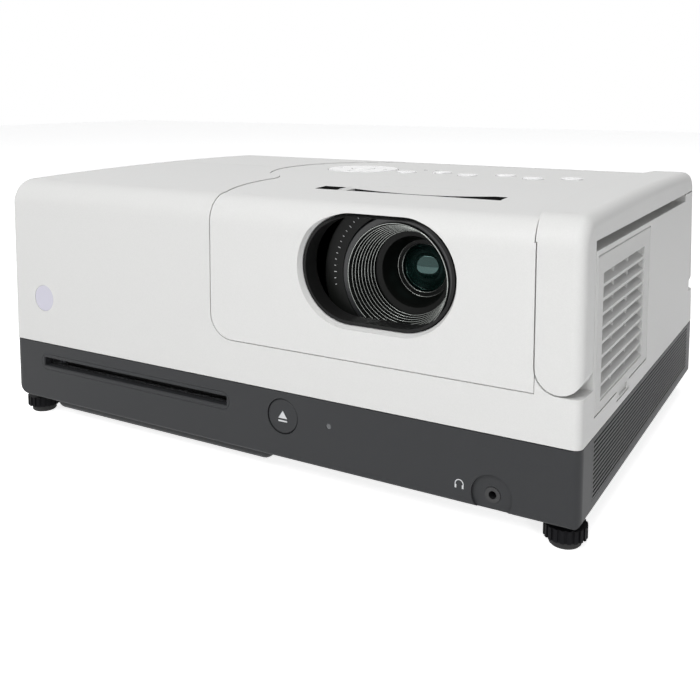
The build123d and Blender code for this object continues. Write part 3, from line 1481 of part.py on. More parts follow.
# ---------------------------------------------------------------- disc drive
drive_low_z = foot_height + base_floor + fit_gap
drive_left_x = slot_x - drive_width / 2
drive_middle_y = drive_front_y + drive_length / 2
motor_y = drive_front_y + 70.2
bulge_middle_x = (bulge_left + bulge_right) / 2
bulge_middle_y = (bulge_front_y + bulge_rear_y) / 2
plate_z = drive_high_z - drive_sheet
with BuildPart() as drive_cavity:
    with BuildSketch(Plane.XY.offset(drive_low_z + drive_sheet)):
        with Locations((slot_x, drive_middle_y)):
            Rectangle(drive_width - 2 * drive_sheet, drive_length - 2 * drive_sheet)
    extrude(amount=40)
    with BuildSketch(Plane.XY.offset(base_low_z + base_floor + fit_gap + drive_sheet)):
        with Locations((bulge_middle_x, bulge_middle_y)):
            RectangleRounded(bulge_right - bulge_left - 14, bulge_length - 14, 4)
    extrude(amount=10)
    # post of the spindle motor
    with BuildSketch(Plane.XY.offset(base_low_z)):
        with Locations((slot_x, motor_y)):
            Circle(14)
    extrude(amount=28.5 - base_low_z, mode=Mode.SUBTRACT)
    # blocks that hold the axle of the feed roller
    for side_x in (drive_left_x + drive_sheet, drive_left_x + drive_width - drive_sheet - 3):
        with BuildSketch(Plane.YZ.offset(side_x)):
            with Locations((roller_y, 22.5)):
                Rectangle(8, 19)
        extrude(amount=3, mode=Mode.SUBTRACT)

with BuildPart() as drive_chassis:
    with BuildSketch(Plane.XY.offset(drive_low_z)):
        with Locations((slot_x, drive_middle_y)):
            Rectangle(drive_width, drive_length)
    extrude(amount=plate_z - 0.1 - drive_low_z)
    with BuildSketch(Plane.XY.offset(base_low_z + base_floor + fit_gap)):
        with Locations((bulge_middle_x, bulge_middle_y)):
            RectangleRounded(bulge_right - bulge_left - 11, bulge_length - 10, 5)
    extrude(amount=drive_low_z - base_low_z - base_floor - fit_gap + drive_sheet)
    add(drive_cavity.part, mode=Mode.SUBTRACT)
    with BuildSketch(Plane.XZ.offset(-drive_front_y - 1)):
        with Locations((slot_x, slot_z)):
            Rectangle(slot_width + 0.4, slot_height + 0.6)
    extrude(amount=2 * drive_sheet + 1, both=True, mode=Mode.SUBTRACT)
    with BuildSketch(Plane.YZ.offset(drive_left_x - 1)):
        with Locations((roller_y, 29)):
            Circle(1.25)
    extrude(amount=drive_width + 2, mode=Mode.SUBTRACT)
    # rods of the laser sled
    with BuildSketch(Plane.XZ.offset(-(motor_y + 14 + 20))):
        with Locations((slot_x - 20, 21), (slot_x + 20, 21)):
            Circle(rod_radius)
    extrude(amount=-(drive_front_y + drive_length - motor_y - 34.6))
    with BuildSketch(Plane.XZ.offset(-(motor_y + 14 + 2))):
        with Locations((slot_x - 20, 21), (slot_x + 20, 21)):
            Circle(rod_radius)
    extrude(amount=-19)
    with BuildSketch(Plane.XY.offset(base_low_z + base_floor + fit_gap + 0.6)):
        with Locations((slot_x - 20, motor_y + 16), (slot_x + 20, motor_y + 16)):
            Rectangle(7, 4)
    extrude(amount=15.7)
    with BuildSketch(Plane.XY.offset(28.5)):
        with Locations((slot_x, motor_y)):
            Circle(1.5 + pin_clearance)
    extrude(amount=-10, mode=Mode.SUBTRACT)
save(drive_chassis.part, "drive_chassis")

with BuildPart() as drive_lid:
    with BuildSketch(Plane.XY.offset(plate_z)):
        with Locations((slot_x, drive_middle_y)):
            Rectangle(drive_width, drive_length)
    extrude(amount=drive_sheet)
    with BuildSketch(Plane.XY.offset(plate_z)):
        with Locations((slot_x, motor_y)):
            Circle(14)
    extrude(amount=-2.2)
    with BuildSketch(Plane.XY.offset(drive_high_z)):
        with Locations((slot_x, motor_y)):
            Circle(30)
            Circle(27, mode=Mode.SUBTRACT)
    extrude(amount=-0.4, mode=Mode.SUBTRACT)
save(drive_lid.part, "drive_lid")

with BuildPart() as disc_roller:
    with BuildSketch(Plane.YZ.offset(drive_left_x + drive_sheet + 3.6)):
        with Locations((roller_y, 29)):
            Circle(roller_radius)
    extrude(amount=drive_width - 2 * drive_sheet - 7.2)
    with BuildSketch(Plane.YZ.offset(drive_left_x + 0.3)):
        with Locations((roller_y, 29)):
            Circle(1.2)
    extrude(amount=drive_width - 0.6)
save(disc_roller.part, "disc_roller")

with BuildPart() as turntable:
    with BuildSketch(Plane.XY.offset(28.8)):
        with Locations((slot_x, motor_y)):
            Circle(13)
    extrude(amount=2.4)
    with BuildSketch(Plane.XY.offset(31.2)):
        with Locations((slot_x, motor_y)):
            Circle(7.2)
    extrude(amount=1.2, taper=30)
    with BuildSketch(Plane.XY.offset(19.5)):
        with Locations((slot_x, motor_y)):
            Circle(1.5)
    extrude(amount=10)
save(turntable.part, "turntable")

sled_y = motor_y + 27
with BuildPart() as laser_sled:
    with BuildSketch(Plane.XY.offset(17.5)):
        with Locations((slot_x, sled_y)):
            RectangleRounded(52, 16, 2)
    extrude(amount=7)
    with BuildSketch(Plane.XY.offset(24.5)):
        with Locations((slot_x, sled_y)):
            Circle(3.4)
    extrude(amount=3)
    with BuildSketch(Plane.XZ.offset(-sled_y)):
        with Locations((slot_x - 20, 21), (slot_x + 20, 21)):
            Circle(rod_radius + pin_clearance)
    extrude(amount=20, both=True, mode=Mode.SUBTRACT)
save(laser_sled.part, "laser_sled")

# ---------------------------------------------------------------- rear connector panel
panel_rear_y = panel_y + panel_thick
panel_middle_x = (panel_left + panel_right) / 2
with BuildPart() as rear_panel:
    with BuildSketch(Plane.XZ.offset(-panel_y)):
        with Locations((panel_middle_x, (panel_low_z + panel_high_z) / 2)):
            RectangleRounded(panel_right - panel_left - 1, panel_high_z - panel_low_z - 1, 3)
    extrude(amount=-panel_thick)
    with BuildSketch(Plane.XZ.offset(-panel_rear_y)):
        with Locations((panel_middle_x, (panel_low_z + panel_high_z) / 2)):
            RectangleRounded(panel_right - panel_left - 1, panel_high_z - panel_low_z - 1, 3)
            RectangleRounded(panel_right - panel_left - 5, panel_high_z - panel_low_z - 5, 1.5,
                             mode=Mode.SUBTRACT)
    extrude(amount=-20)
    add(case_form(0.5, low=5), mode=Mode.INTERSECT)
    # cheeks that carry the rocker
    with BuildSketch(Plane.XZ.offset(-panel_y)):
        with Locations((rocker_x - 9, port_centre_z), (rocker_x + 9, port_centre_z)):
            Rectangle(3, 22)
    extrude(amount=6)
    with BuildSketch(Plane.XZ.offset(-panel_y + 7)):
        with Locations((inlet_x, port_centre_z)):
            RectangleRounded(28.2, 20.7, 2)
        with Locations((rocker_x, port_centre_z)):
            Rectangle(14, 22.4)
        with Locations(*[(x, port_centre_z) for x in phono_x]):
            Circle(phono_radius + 0.1)
        with Locations((port_x, port_centre_z)):
            RectangleRounded(17.6, 9.2, 3)
    extrude(amount=-panel_thick - 8, mode=Mode.SUBTRACT)
    with BuildSketch(Plane.YZ.offset(rocker_x - 10.6)):
        with Locations((panel_y - 2.5, port_centre_z)):
            Circle(1.25)
    extrude(amount=21.2, mode=Mode.SUBTRACT)
save(rear_panel.part, "rear_panel")

with BuildPart() as power_rocker:
    with BuildSketch(Plane.YZ.offset(rocker_x - 6.5)):
        with BuildLine():
            Polyline((panel_y + 4.2, port_centre_z + 9), (panel_y + 2.6, port_centre_z),
                     (panel_y + 1.2, port_centre_z - 9), (panel_y - 5, port_centre_z - 7.5),
                     (panel_y - 6.5, port_centre_z), (panel_y - 5, port_centre_z + 7.5), close=True)
        make_face()
    extrude(amount=13)
    with BuildSketch(Plane.YZ.offset(rocker_x - 10)):
        with Locations((panel_y - 2.5, port_centre_z)):
            Circle(1.2)
    extrude(amount=20)
save(power_rocker.part, "power_rocker")

with BuildPart() as mains_inlet:
    with BuildSketch(Plane.XZ.offset(-(panel_y - 16))):
        with Locations((inlet_x, port_centre_z)):
            RectangleRounded(28, 20.5, 2)
    extrude(amount=-(panel_thick + 17.5))
    with BuildSketch(Plane.XZ.offset(-(panel_rear_y + 0.1))):
        with Locations((inlet_x, port_centre_z)):
            RectangleRounded(31, 23.5, 2)
    extrude(amount=-1.4)
    with BuildSketch(Plane.XZ.offset(-(panel_y - 12))):
        with Locations((inlet_x, port_centre_z)):
            Polygon((-12, -8.5), (12, -8.5), (12, 3.5), (7.5, 8.5), (-7.5, 8.5), (-12, 3.5), align=None)
    extrude(amount=-30, mode=Mode.SUBTRACT)
    with BuildSketch(Plane.XZ.offset(-(panel_y - 13))):
        with Locations((inlet_x - 7, port_centre_z - 2.5), (inlet_x + 7, port_centre_z - 2.5),
                       (inlet_x, port_centre_z + 2.5)):
            Rectangle(2, 4)
    extrude(amount=-12)
save(mains_inlet.part, "mains_inlet")

with BuildPart() as phono_jacks:
    for phono_place in phono_x:
        with BuildSketch(Plane.XZ.offset(-(panel_y - 6))):
            with Locations((phono_place, port_centre_z)):
                Circle(phono_radius)
        extrude(amount=-14.5)
        with BuildSketch(Plane.XZ.offset(-(panel_y - 6))):
            with Locations((phono_place, port_centre_z)):
                Rectangle(12, 12)
        extrude(amount=-5.8)
        with BuildSketch(Plane.XZ.offset(-(panel_y + 8.5))):
            with Locations((phono_place, port_centre_z)):
                Circle(phono_bore_radius)
        extrude(amount=10, mode=Mode.SUBTRACT)
save(phono_jacks.part, "phono_jacks")

with BuildPart() as monitor_port:
    with BuildSketch(Plane.XZ.offset(-(panel_y - 8))):
        with Locations((port_x, port_centre_z)):
            RectangleRounded(17.2, 8.8, 3)
    extrude(amount=-14)
    with BuildSketch(Plane.XZ.offset(-(panel_y - 8))):
        with Locations((port_x, port_centre_z)):
            RectangleRounded(26, 12.4, 2)
    extrude(amount=-7.8)
    with BuildSketch(Plane.XZ.offset(-(panel_y + 6))):
        with Locations((port_x, port_centre_z)):
            RectangleRounded(15.2, 6.8, 2)
    extrude(amount=3.6, mode=Mode.SUBTRACT)
    for row_z, row_count in ((2, 5), (0, 5), (-2, 5)):
        with BuildSketch(Plane.XZ.offset(-(panel_y + 2.4))):
            with Locations((port_x + 0.4, port_centre_z + row_z)):
                with GridLocations(2.3, 0, row_count, 1):
                    Rectangle(0.8, 0.8)
        extrude(amount=2, mode=Mode.SUBTRACT)
save(monitor_port.part, "monitor_port")
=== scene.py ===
import json
from math import cos, radians, sin

import bpy
import bmesh
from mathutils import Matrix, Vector


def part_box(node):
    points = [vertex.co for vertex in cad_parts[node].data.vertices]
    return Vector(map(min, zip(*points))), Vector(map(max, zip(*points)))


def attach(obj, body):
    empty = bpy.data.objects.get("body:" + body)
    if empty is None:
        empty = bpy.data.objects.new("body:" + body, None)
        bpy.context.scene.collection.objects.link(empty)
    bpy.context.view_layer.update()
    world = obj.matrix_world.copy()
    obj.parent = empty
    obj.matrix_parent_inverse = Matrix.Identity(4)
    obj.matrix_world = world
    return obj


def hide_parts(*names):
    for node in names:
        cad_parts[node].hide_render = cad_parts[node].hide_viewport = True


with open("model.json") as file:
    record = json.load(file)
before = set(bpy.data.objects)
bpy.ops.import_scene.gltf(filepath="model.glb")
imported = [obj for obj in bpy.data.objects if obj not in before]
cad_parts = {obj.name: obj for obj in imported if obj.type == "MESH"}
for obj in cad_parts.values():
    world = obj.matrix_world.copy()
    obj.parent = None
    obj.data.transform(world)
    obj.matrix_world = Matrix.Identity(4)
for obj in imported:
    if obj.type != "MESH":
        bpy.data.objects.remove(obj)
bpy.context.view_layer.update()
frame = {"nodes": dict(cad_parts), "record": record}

nodes = frame["nodes"]

# ------------------------------------------------------------------ camera and studio
FOCAL_LENGTH = 45.96
SENSOR_WIDTH = 36.0
CAMERA_PLACE = (0.2663, -0.4729, 0.1914)
CAMERA_TILT = 84.0
CAMERA_TURN = 30.48
CAMERA_SHIFT = -0.235
FLOOR_SIZE = 8
FLOOR_DROP = 0.0002
PAPER_GLOW = 0.8


def add_camera():
    bpy.ops.object.camera_add(location=CAMERA_PLACE,
                              rotation=(radians(CAMERA_TILT), 0, radians(CAMERA_TURN)))
    camera = bpy.context.object
    camera.name = "photo_camera"
    camera.data.lens = FOCAL_LENGTH
    camera.data.sensor_width = SENSOR_WIDTH
    camera.data.shift_y = CAMERA_SHIFT
    camera.data.clip_start = 0.01
    bpy.context.scene.camera = camera


def add_softbox(name, place, target, width, height, power):
    """Rectangular area light, turned from its place to its target. Power in watts."""
    bpy.ops.object.light_add(type="AREA", location=place)
    lamp = bpy.context.object
    lamp.name = name
    lamp.data.shape = "RECTANGLE"
    lamp.data.size = width
    lamp.data.size_y = height
    lamp.data.energy = power
    lamp.rotation_euler = (Vector(target) - Vector(place)).to_track_quat("-Z", "Y").to_euler()


def shown_rays(tree):
    """1 for rays that show the backdrop itself: seen directly, mirrored or through glass."""
    path = tree.nodes.new("ShaderNodeLightPath")
    direct_or_mirrored = tree.nodes.new("ShaderNodeMath")
    direct_or_mirrored.operation = "MAXIMUM"
    tree.links.new(path.outputs["Is Camera Ray"], direct_or_mirrored.inputs[0])
    tree.links.new(path.outputs["Is Glossy Ray"], direct_or_mirrored.inputs[1])
    shown = tree.nodes.new("ShaderNodeMath")
    shown.operation = "MAXIMUM"
    tree.links.new(direct_or_mirrored.outputs[0], shown.inputs[0])
    tree.links.new(path.outputs["Is Transmission Ray"], shown.inputs[1])
    return shown.outputs[0]


def light_world(strength):
    """Weak even light on the object, in front of a backdrop that shows as plain white."""
    world = bpy.data.worlds.new("studio_world")
    bpy.context.scene.world = world
    world.use_nodes = True
    tree = world.node_tree
    tree.nodes.clear()
    output = tree.nodes.new("ShaderNodeOutputWorld")
    room = tree.nodes.new("ShaderNodeBackground")
    room.inputs["Color"].default_value = (0.93, 0.95, 1.0, 1)
    room.inputs["Strength"].default_value = strength
    seen = tree.nodes.new("ShaderNodeBackground")
    seen.inputs["Color"].default_value = (1, 1, 1, 1)
    seen.inputs["Strength"].default_value = 1.0
    choose = tree.nodes.new("ShaderNodeMixShader")
    tree.links.new(shown_rays(tree), choose.inputs[0])
    tree.links.new(room.outputs[0], choose.inputs[1])
    tree.links.new(seen.outputs[0], choose.inputs[2])
    tree.links.new(choose.outputs[0], output.inputs["Surface"])


def add_floor():
    """White paper that glows a little where it is seen, so that it meets the backdrop."""
    bpy.ops.mesh.primitive_plane_add(size=FLOOR_SIZE, location=(0, 0, -FLOOR_DROP))
    floor = bpy.context.object
    floor.name = "studio_floor"
    material = bpy.data.materials.new("studio_paper")
    material.use_nodes = True
    tree = material.node_tree
    shader = tree.nodes["Principled BSDF"]
    shader.inputs["Base Color"].default_value = (0.93, 0.93, 0.93, 1)
    shader.inputs["Roughness"].default_value = 0.9
    shader.inputs["Emission Color"].default_value = (1, 1, 1, 1)
    scale = tree.nodes.new("ShaderNodeMath")
    scale.operation = "MULTIPLY"
    scale.inputs[1].default_value = PAPER_GLOW
    tree.links.new(shown_rays(tree), scale.inputs[0])
    tree.links.new(scale.outputs[0], shader.inputs["Emission Strength"])
    floor.data.materials.append(material)


bpy.context.scene.view_settings.view_transform = "Standard"
add_camera()
add_softbox("key_softbox", (0.0, -1.6, 1.55), (0, 0, 0.06), 1.4, 1.0, 32)
add_softbox("top_softbox", (-0.2, 0.2, 1.7), (0, 0, 0.1), 2.0, 1.4, 10.5)
add_softbox("lens_softbox", (0.75, -0.85, 0.32), (0.08, -0.08, 0.10), 0.14, 0.20, 2.0)
light_world(0.06)
add_floor()


# ------------------------------------------------------------------ finishes
def moulded_plastic(name, colour, roughness, grain_size=0.0006, grain_depth=0.04, shade=0.03,
                    coat=0.0, sparkle=0.0, shine=0.5):
    """Moulded plastic: fine spark texture, faint colour drift and a little wear in its gloss."""
    material = bpy.data.materials.new(name)
    material.use_nodes = True
    tree = material.node_tree
    link = tree.links.new
    shader = tree.nodes["Principled BSDF"]
    place = tree.nodes.new("ShaderNodeTexCoord")
    drift = tree.nodes.new("ShaderNodeTexNoise")
    drift.inputs["Scale"].default_value = 9.0
    drift.inputs["Detail"].default_value = 3.0
    link(place.outputs["Object"], drift.inputs["Vector"])
    tone = tree.nodes.new("ShaderNodeMix")
    tone.data_type = "RGBA"
    low = [c * (1 - shade) for c in colour]
    high = [min(1.0, c * (1 + shade)) for c in colour]
    tone.inputs["A"].default_value = (*low, 1)
    tone.inputs["B"].default_value = (*high, 1)
    link(drift.outputs["Fac"], tone.inputs["Factor"])
    grain = tree.nodes.new("ShaderNodeTexNoise")
    grain.inputs["Scale"].default_value = 1.0 / grain_size
    grain.inputs["Detail"].default_value = 2.0
    link(place.outputs["Object"], grain.inputs["Vector"])
    colour_out = tone.outputs["Result"]
    if sparkle:
        flakes = tree.nodes.new("ShaderNodeTexVoronoi")
        flakes.inputs["Scale"].default_value = 1.0 / (grain_size * 0.8)
        link(place.outputs["Object"], flakes.inputs["Vector"])
        lift = tree.nodes.new("ShaderNodeMapRange")
        lift.inputs["To Min"].default_value = 1.0 - sparkle
        lift.inputs["To Max"].default_value = 1.0 + sparkle
        link(flakes.outputs["Color"], lift.inputs["Value"])
        speckled = tree.nodes.new("ShaderNodeVectorMath")
        speckled.operation = "SCALE"
        link(colour_out, speckled.inputs[0])
        link(lift.outputs["Result"], speckled.inputs["Scale"])
        colour_out = speckled.outputs["Vector"]
    link(colour_out, shader.inputs["Base Color"])
    gloss = tree.nodes.new("ShaderNodeMapRange")
    gloss.inputs["To Min"].default_value = roughness - 0.04
    gloss.inputs["To Max"].default_value = roughness + 0.05
    link(drift.outputs["Fac"], gloss.inputs["Value"])
    link(gloss.outputs["Result"], shader.inputs["Roughness"])
    bump = tree.nodes.new("ShaderNodeBump")
    bump.inputs["Strength"].default_value = grain_depth
    bump.inputs["Distance"].default_value = 0.0002
    link(grain.outputs["Fac"], bump.inputs["Height"])
    link(bump.outputs["Normal"], shader.inputs["Normal"])
    shader.inputs["Coat Weight"].default_value = coat
    shader.inputs["Coat Roughness"].default_value = 0.18
    shader.inputs["Specular IOR Level"].default_value = shine
    return material


def metal(name, colour, roughness, stretch=(1, 1, 1), line_size=0.0008):
    """Metal whose roughness runs in fine lines along the direction with the smallest stretch."""
    material = bpy.data.materials.new(name)
    material.use_nodes = True
    tree = material.node_tree
    link = tree.links.new
    shader = tree.nodes["Principled BSDF"]
    shader.inputs["Metallic"].default_value = 1.0
    place = tree.nodes.new("ShaderNodeTexCoord")
    squeeze = tree.nodes.new("ShaderNodeMapping")
    squeeze.inputs["Scale"].default_value = stretch
    link(place.outputs["Object"], squeeze.inputs["Vector"])
    lines = tree.nodes.new("ShaderNodeTexNoise")
    lines.inputs["Scale"].default_value = 1.0 / line_size
    link(squeeze.outputs["Vector"], lines.inputs["Vector"])
    tone = tree.nodes.new("ShaderNodeMix")
    tone.data_type = "RGBA"
    tone.inputs["A"].default_value = (*[c * 0.9 for c in colour], 1)
    tone.inputs["B"].default_value = (*colour, 1)
    link(lines.outputs["Fac"], tone.inputs["Factor"])
    link(tone.outputs["Result"], shader.inputs["Base Color"])
    gloss = tree.nodes.new("ShaderNodeMapRange")
    gloss.inputs["To Min"].default_value = roughness * 0.8
    gloss.inputs["To Max"].default_value = roughness * 1.25
    link(lines.outputs["Fac"], gloss.inputs["Value"])
    link(gloss.outputs["Result"], shader.inputs["Roughness"])
    return material


def clear_glass(name, tint, roughness, see_through, coating=(0.5, 0.9, 0.8)):
    """Coated glass: it lets some light through and reflects with a faint colour."""
    material = bpy.data.materials.new(name)
    material.use_nodes = True
    tree = material.node_tree
    shader = tree.nodes["Principled BSDF"]
    shader.inputs["Roughness"].default_value = roughness
    shader.inputs["Transmission Weight"].default_value = see_through
    shader.inputs["IOR"].default_value = 1.5
    shader.inputs["Coat Weight"].default_value = 1.0
    shader.inputs["Coat Roughness"].default_value = 0.02
    shader.inputs["Coat Tint"].default_value = (*coating, 1)
    # The base colour darkens to half where the surface turns away from view: painted shade towards the
    # glass's edges.
    facing = tree.nodes.new("ShaderNodeLayerWeight")
    facing.inputs["Blend"].default_value = 0.35
    tone = tree.nodes.new("ShaderNodeMix")
    tone.data_type = "RGBA"
    tone.inputs["A"].default_value = (*tint, 1)
    tone.inputs["B"].default_value = (*[c * 0.5 for c in tint], 1)
    tree.links.new(facing.outputs["Facing"], tone.inputs["Factor"])
    tree.links.new(tone.outputs["Result"], shader.inputs["Base Color"])
    return material


PEARL = {"grain_size": 0.0005, "grain_depth": 0.05, "shade": 0.01, "sparkle": 0.02, "shine": 0.12}
finishes = {
    "white_shell": moulded_plastic("pearl_shell", (0.70, 0.70, 0.69), 0.36, **PEARL),
    "white_cover": moulded_plastic("pearl_cover", (0.71, 0.71, 0.70), 0.36, **PEARL),
    "white_trim": moulded_plastic("pearl_trim", (0.66, 0.66, 0.65), 0.40, **PEARL),
    "white_key": moulded_plastic("pearl_keys", (0.78, 0.78, 0.78), 0.22, 0.0005, 0.02, 0.01, 0.5),
    "dark_base": moulded_plastic("charcoal_tray", (0.030, 0.031, 0.033),
                                 0.5, 0.0006, 0.12, 0.06, shine=0.22),
    "dark_trim": moulded_plastic("charcoal_trim", (0.027, 0.028, 0.030),
                                 0.46, 0.0006, 0.08, 0.05, shine=0.22),
    "dark_grille": moulded_plastic("charcoal_grille", (0.026, 0.027, 0.028),
                                   0.5, 0.0006, 0.12, 0.06, shine=0.25),
    "black_inner": moulded_plastic("window_liner_black", (0.007, 0.007, 0.007),
                                   0.5, 0.0006, 0.06, 0.1, shine=0.2),
    "lens_body": moulded_plastic("anodised_black", (0.006, 0.0065, 0.007),
                                 0.24, 0.0004, 0.03, 0.1, 0.4),
    "lens_ring": moulded_plastic("ring_black", (0.014, 0.015, 0.016), 0.34, 0.0004, 0.06, 0.1, 0.2),
    "lens_glass": clear_glass("coated_glass", (0.10, 0.20, 0.16), 0.01, 0.9),
    "ir_window": moulded_plastic("lilac_window", (0.52, 0.51, 0.60), 0.12, 0.0008, 0.01, 0.03, 0.8),
    "light_pipe": moulded_plastic("light_pipe", (0.05, 0.055, 0.06), 0.15, 0.0005, 0.02, 0.03, 0.6),
    "foot_black": moulded_plastic("foot_black", (0.004, 0.004, 0.005),
                                  0.6, 0.0006, 0.06, 0.06, shine=0.1),
    "rubber": moulded_plastic("foot_rubber", (0.012, 0.012, 0.012), 0.75, 0.0005, 0.25, 0.15),
    "steel": metal("zinc_steel", (0.55, 0.56, 0.58), 0.32),
    "sheet_steel": metal("plated_sheet", (0.50, 0.51, 0.53), 0.38, (8, 1, 8)),
    "board_green": moulded_plastic("board_laminate", (0.012, 0.10, 0.035),
                                   0.35, 0.0012, 0.08, 0.25, 0.3),
    "foam": moulded_plastic("filter_foam", (0.16, 0.16, 0.165), 0.95, 0.0009, 0.9, 0.35),
    "optics_black": moulded_plastic("optics_black", (0.018, 0.018, 0.019), 0.6, 0.0008, 0.1, 0.1),
    "connector_plate": moulded_plastic("connector_plate", (0.045, 0.046, 0.050),
                                       0.42, 0.0006, 0.08, 0.05),
    "connector_black": moulded_plastic("connector_black", (0.012, 0.012, 0.013),
                                       0.4, 0.0006, 0.05, 0.1),
}
for part in frame["record"]["subparts"]:
    nodes[part["node"]].material_slots[0].material = finishes[part["material_slot"]]

# ------------------------------------------------------------------ modelling helpers
def deselect():
    """Leaves edit mode and clears the selection."""
    if bpy.context.object and bpy.context.object.mode != "OBJECT":
        bpy.ops.object.mode_set(mode="OBJECT")
    bpy.ops.object.select_all(action="DESELECT")


def settle(name, material, body, smooth=35.0):
    """Puts the piece's place into its mesh, smooths it, and hangs it on its body."""
    piece = bpy.context.object
    piece.name = name
    bpy.ops.object.transform_apply(location=True, rotation=True, scale=True)
    bpy.ops.object.mode_set(mode="EDIT")
    bpy.ops.mesh.select_all(action="SELECT")
    bpy.ops.mesh.remove_doubles(threshold=1e-7)
    bpy.ops.mesh.normals_make_consistent(inside=False)
    bpy.ops.object.mode_set(mode="OBJECT")
    bpy.ops.object.shade_smooth_by_angle(angle=radians(smooth))
    piece.data.materials.clear()
    piece.data.materials.append(material)
    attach(piece, body)
    return piece


def bevel_edges(width, segments=2, angle=30.0):
    """Rounds every edge sharper than the angle on the active object."""
    piece = bpy.context.object
    rounding = piece.modifiers.new("rounding", "BEVEL")
    rounding.width = width
    rounding.segments = segments
    rounding.limit_method = "ANGLE"
    rounding.angle_limit = radians(angle)
    bpy.ops.object.modifier_apply(modifier="rounding")


def pick_faces(test):
    """In edit mode, selects the faces whose centre and normal pass the test."""
    piece = bpy.context.object
    mesh = bmesh.from_edit_mesh(piece.data)
    for face in mesh.faces:
        face.select_set(test(face.calc_center_median(), face.normal))
    mesh.select_flush_mode()
    bmesh.update_edit_mesh(piece.data)


def join_pieces(pieces):
    """Joins the pieces into the first one."""
    deselect()
    for piece in pieces:
        piece.select_set(True)
    bpy.context.view_layer.objects.active = pieces[0]
    bpy.ops.object.join()
    return bpy.context.object


def front_block(centre_x, y, centre_z, width, depth, height):
    """Small block on a face that looks to the front."""
    deselect()
    bpy.ops.mesh.primitive_cube_add(size=1, location=(centre_x, y, centre_z))
    bpy.context.object.scale = (width, depth, height)
    bpy.ops.object.transform_apply(location=True, rotation=True, scale=True)
    return bpy.context.object


def low_high(node):
    """Lowest corner, highest corner and middle of a node's box."""
    low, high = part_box(node)
    return low, high, (low + high) / 2


# ------------------------------------------------------------------ printed marks
ink = moulded_plastic("pale_ink", (0.62, 0.63, 0.64), 0.5, 0.0006, 0.02, 0.02)
INK_THICK = 0.00012
INK_ROUNDING = 0.00004
TRIANGLE_RADIUS = 0.0030
TRIANGLE_LIFT = 0.0002
TRIANGLE_SHARE = 0.86  # height of the triangle against one with equal sides
BAR_DROP = 0.0024
BAR_WIDTH = 0.0052
BAR_HEIGHT = 0.0008
HEADPHONE_X = 0.1170
HEADPHONE_Z = 0.0206
BAND_RADIUS = 0.0019
BAND_THICKNESS = 0.00022
BAND_DROP = 0.0006
BAND_FLATNESS = 0.4
CUP_REACH = 0.0017
CUP_DROP = 0.0012
CUP_WIDTH = 0.0008
CUP_HEIGHT = 0.0016


def eject_mark():
    """Triangle over a bar, printed on the eject button."""
    low, _, middle = low_high("eject_button")
    face_y = low.y - INK_THICK / 3
    deselect()
    bpy.ops.mesh.primitive_circle_add(vertices=3, radius=TRIANGLE_RADIUS, fill_type="NGON",
                                      location=(middle.x, face_y, middle.z + TRIANGLE_LIFT),
                                      rotation=(radians(90), 0, 0))
    triangle = bpy.context.object
    triangle.scale = (1.0, TRIANGLE_SHARE, 1.0)
    bpy.ops.object.mode_set(mode="EDIT")
    bpy.ops.mesh.select_all(action="SELECT")
    bpy.ops.mesh.extrude_region_move(TRANSFORM_OT_translate={"value": (0, -INK_THICK, 0)})
    bpy.ops.object.mode_set(mode="OBJECT")
    bpy.ops.object.transform_apply(location=True, rotation=True, scale=True)
    bevel_edges(INK_ROUNDING)
    bar = front_block(middle.x, face_y - INK_THICK / 2, middle.z - BAR_DROP,
                      BAR_WIDTH, INK_THICK, BAR_HEIGHT)
    bevel_edges(INK_ROUNDING)
    join_pieces([triangle, bar])
    settle("eject_mark", ink, "eject_button")


def headphone_mark():
    """Head band and two ear cups, printed over the headphone socket."""
    low, _, _ = low_high("base_shell")
    face_y = low.y - INK_THICK / 3
    deselect()
    bpy.ops.mesh.primitive_torus_add(major_radius=BAND_RADIUS, minor_radius=BAND_THICKNESS,
                                     major_segments=32, minor_segments=8,
                                     location=(HEADPHONE_X, face_y, HEADPHONE_Z),
                                     rotation=(radians(90), 0, 0))
    band = bpy.context.object
    bpy.ops.object.transform_apply(location=True, rotation=True, scale=True)
    bpy.ops.object.mode_set(mode="EDIT")
    bpy.ops.mesh.select_all(action="SELECT")
    bpy.ops.mesh.bisect(plane_co=(HEADPHONE_X, face_y, HEADPHONE_Z - BAND_DROP), plane_no=(0, 0, 1),
                        clear_inner=True, use_fill=True)
    bpy.ops.mesh.select_all(action="SELECT")
    bpy.ops.transform.resize(value=(1, BAND_FLATNESS, 1), center_override=(HEADPHONE_X, face_y, HEADPHONE_Z))
    bpy.ops.object.mode_set(mode="OBJECT")
    parts = [band]
    for side in (-1, 1):
        cup = front_block(HEADPHONE_X + side * CUP_REACH, face_y - INK_THICK / 3, HEADPHONE_Z - CUP_DROP,
                          CUP_WIDTH, INK_THICK, CUP_HEIGHT)
        bevel_edges(INK_ROUNDING)
        parts.append(cup)
    join_pieces(parts)
    settle("headphone_mark", ink, "housing")


eject_mark()
headphone_mark()

# ------------------------------------------------------------------ lens
polished_edge = metal("polished_edge", (0.42, 0.44, 0.42), 0.22)
deep_glass = clear_glass("deep_glass", (0.010, 0.026, 0.022), 0.01, 0.35, (0.35, 0.8, 0.75))
hood_black = moulded_plastic("hood_black", (0.004, 0.0045, 0.004), 0.32, 0.0004, 0.01, 0.1, shine=0.15)

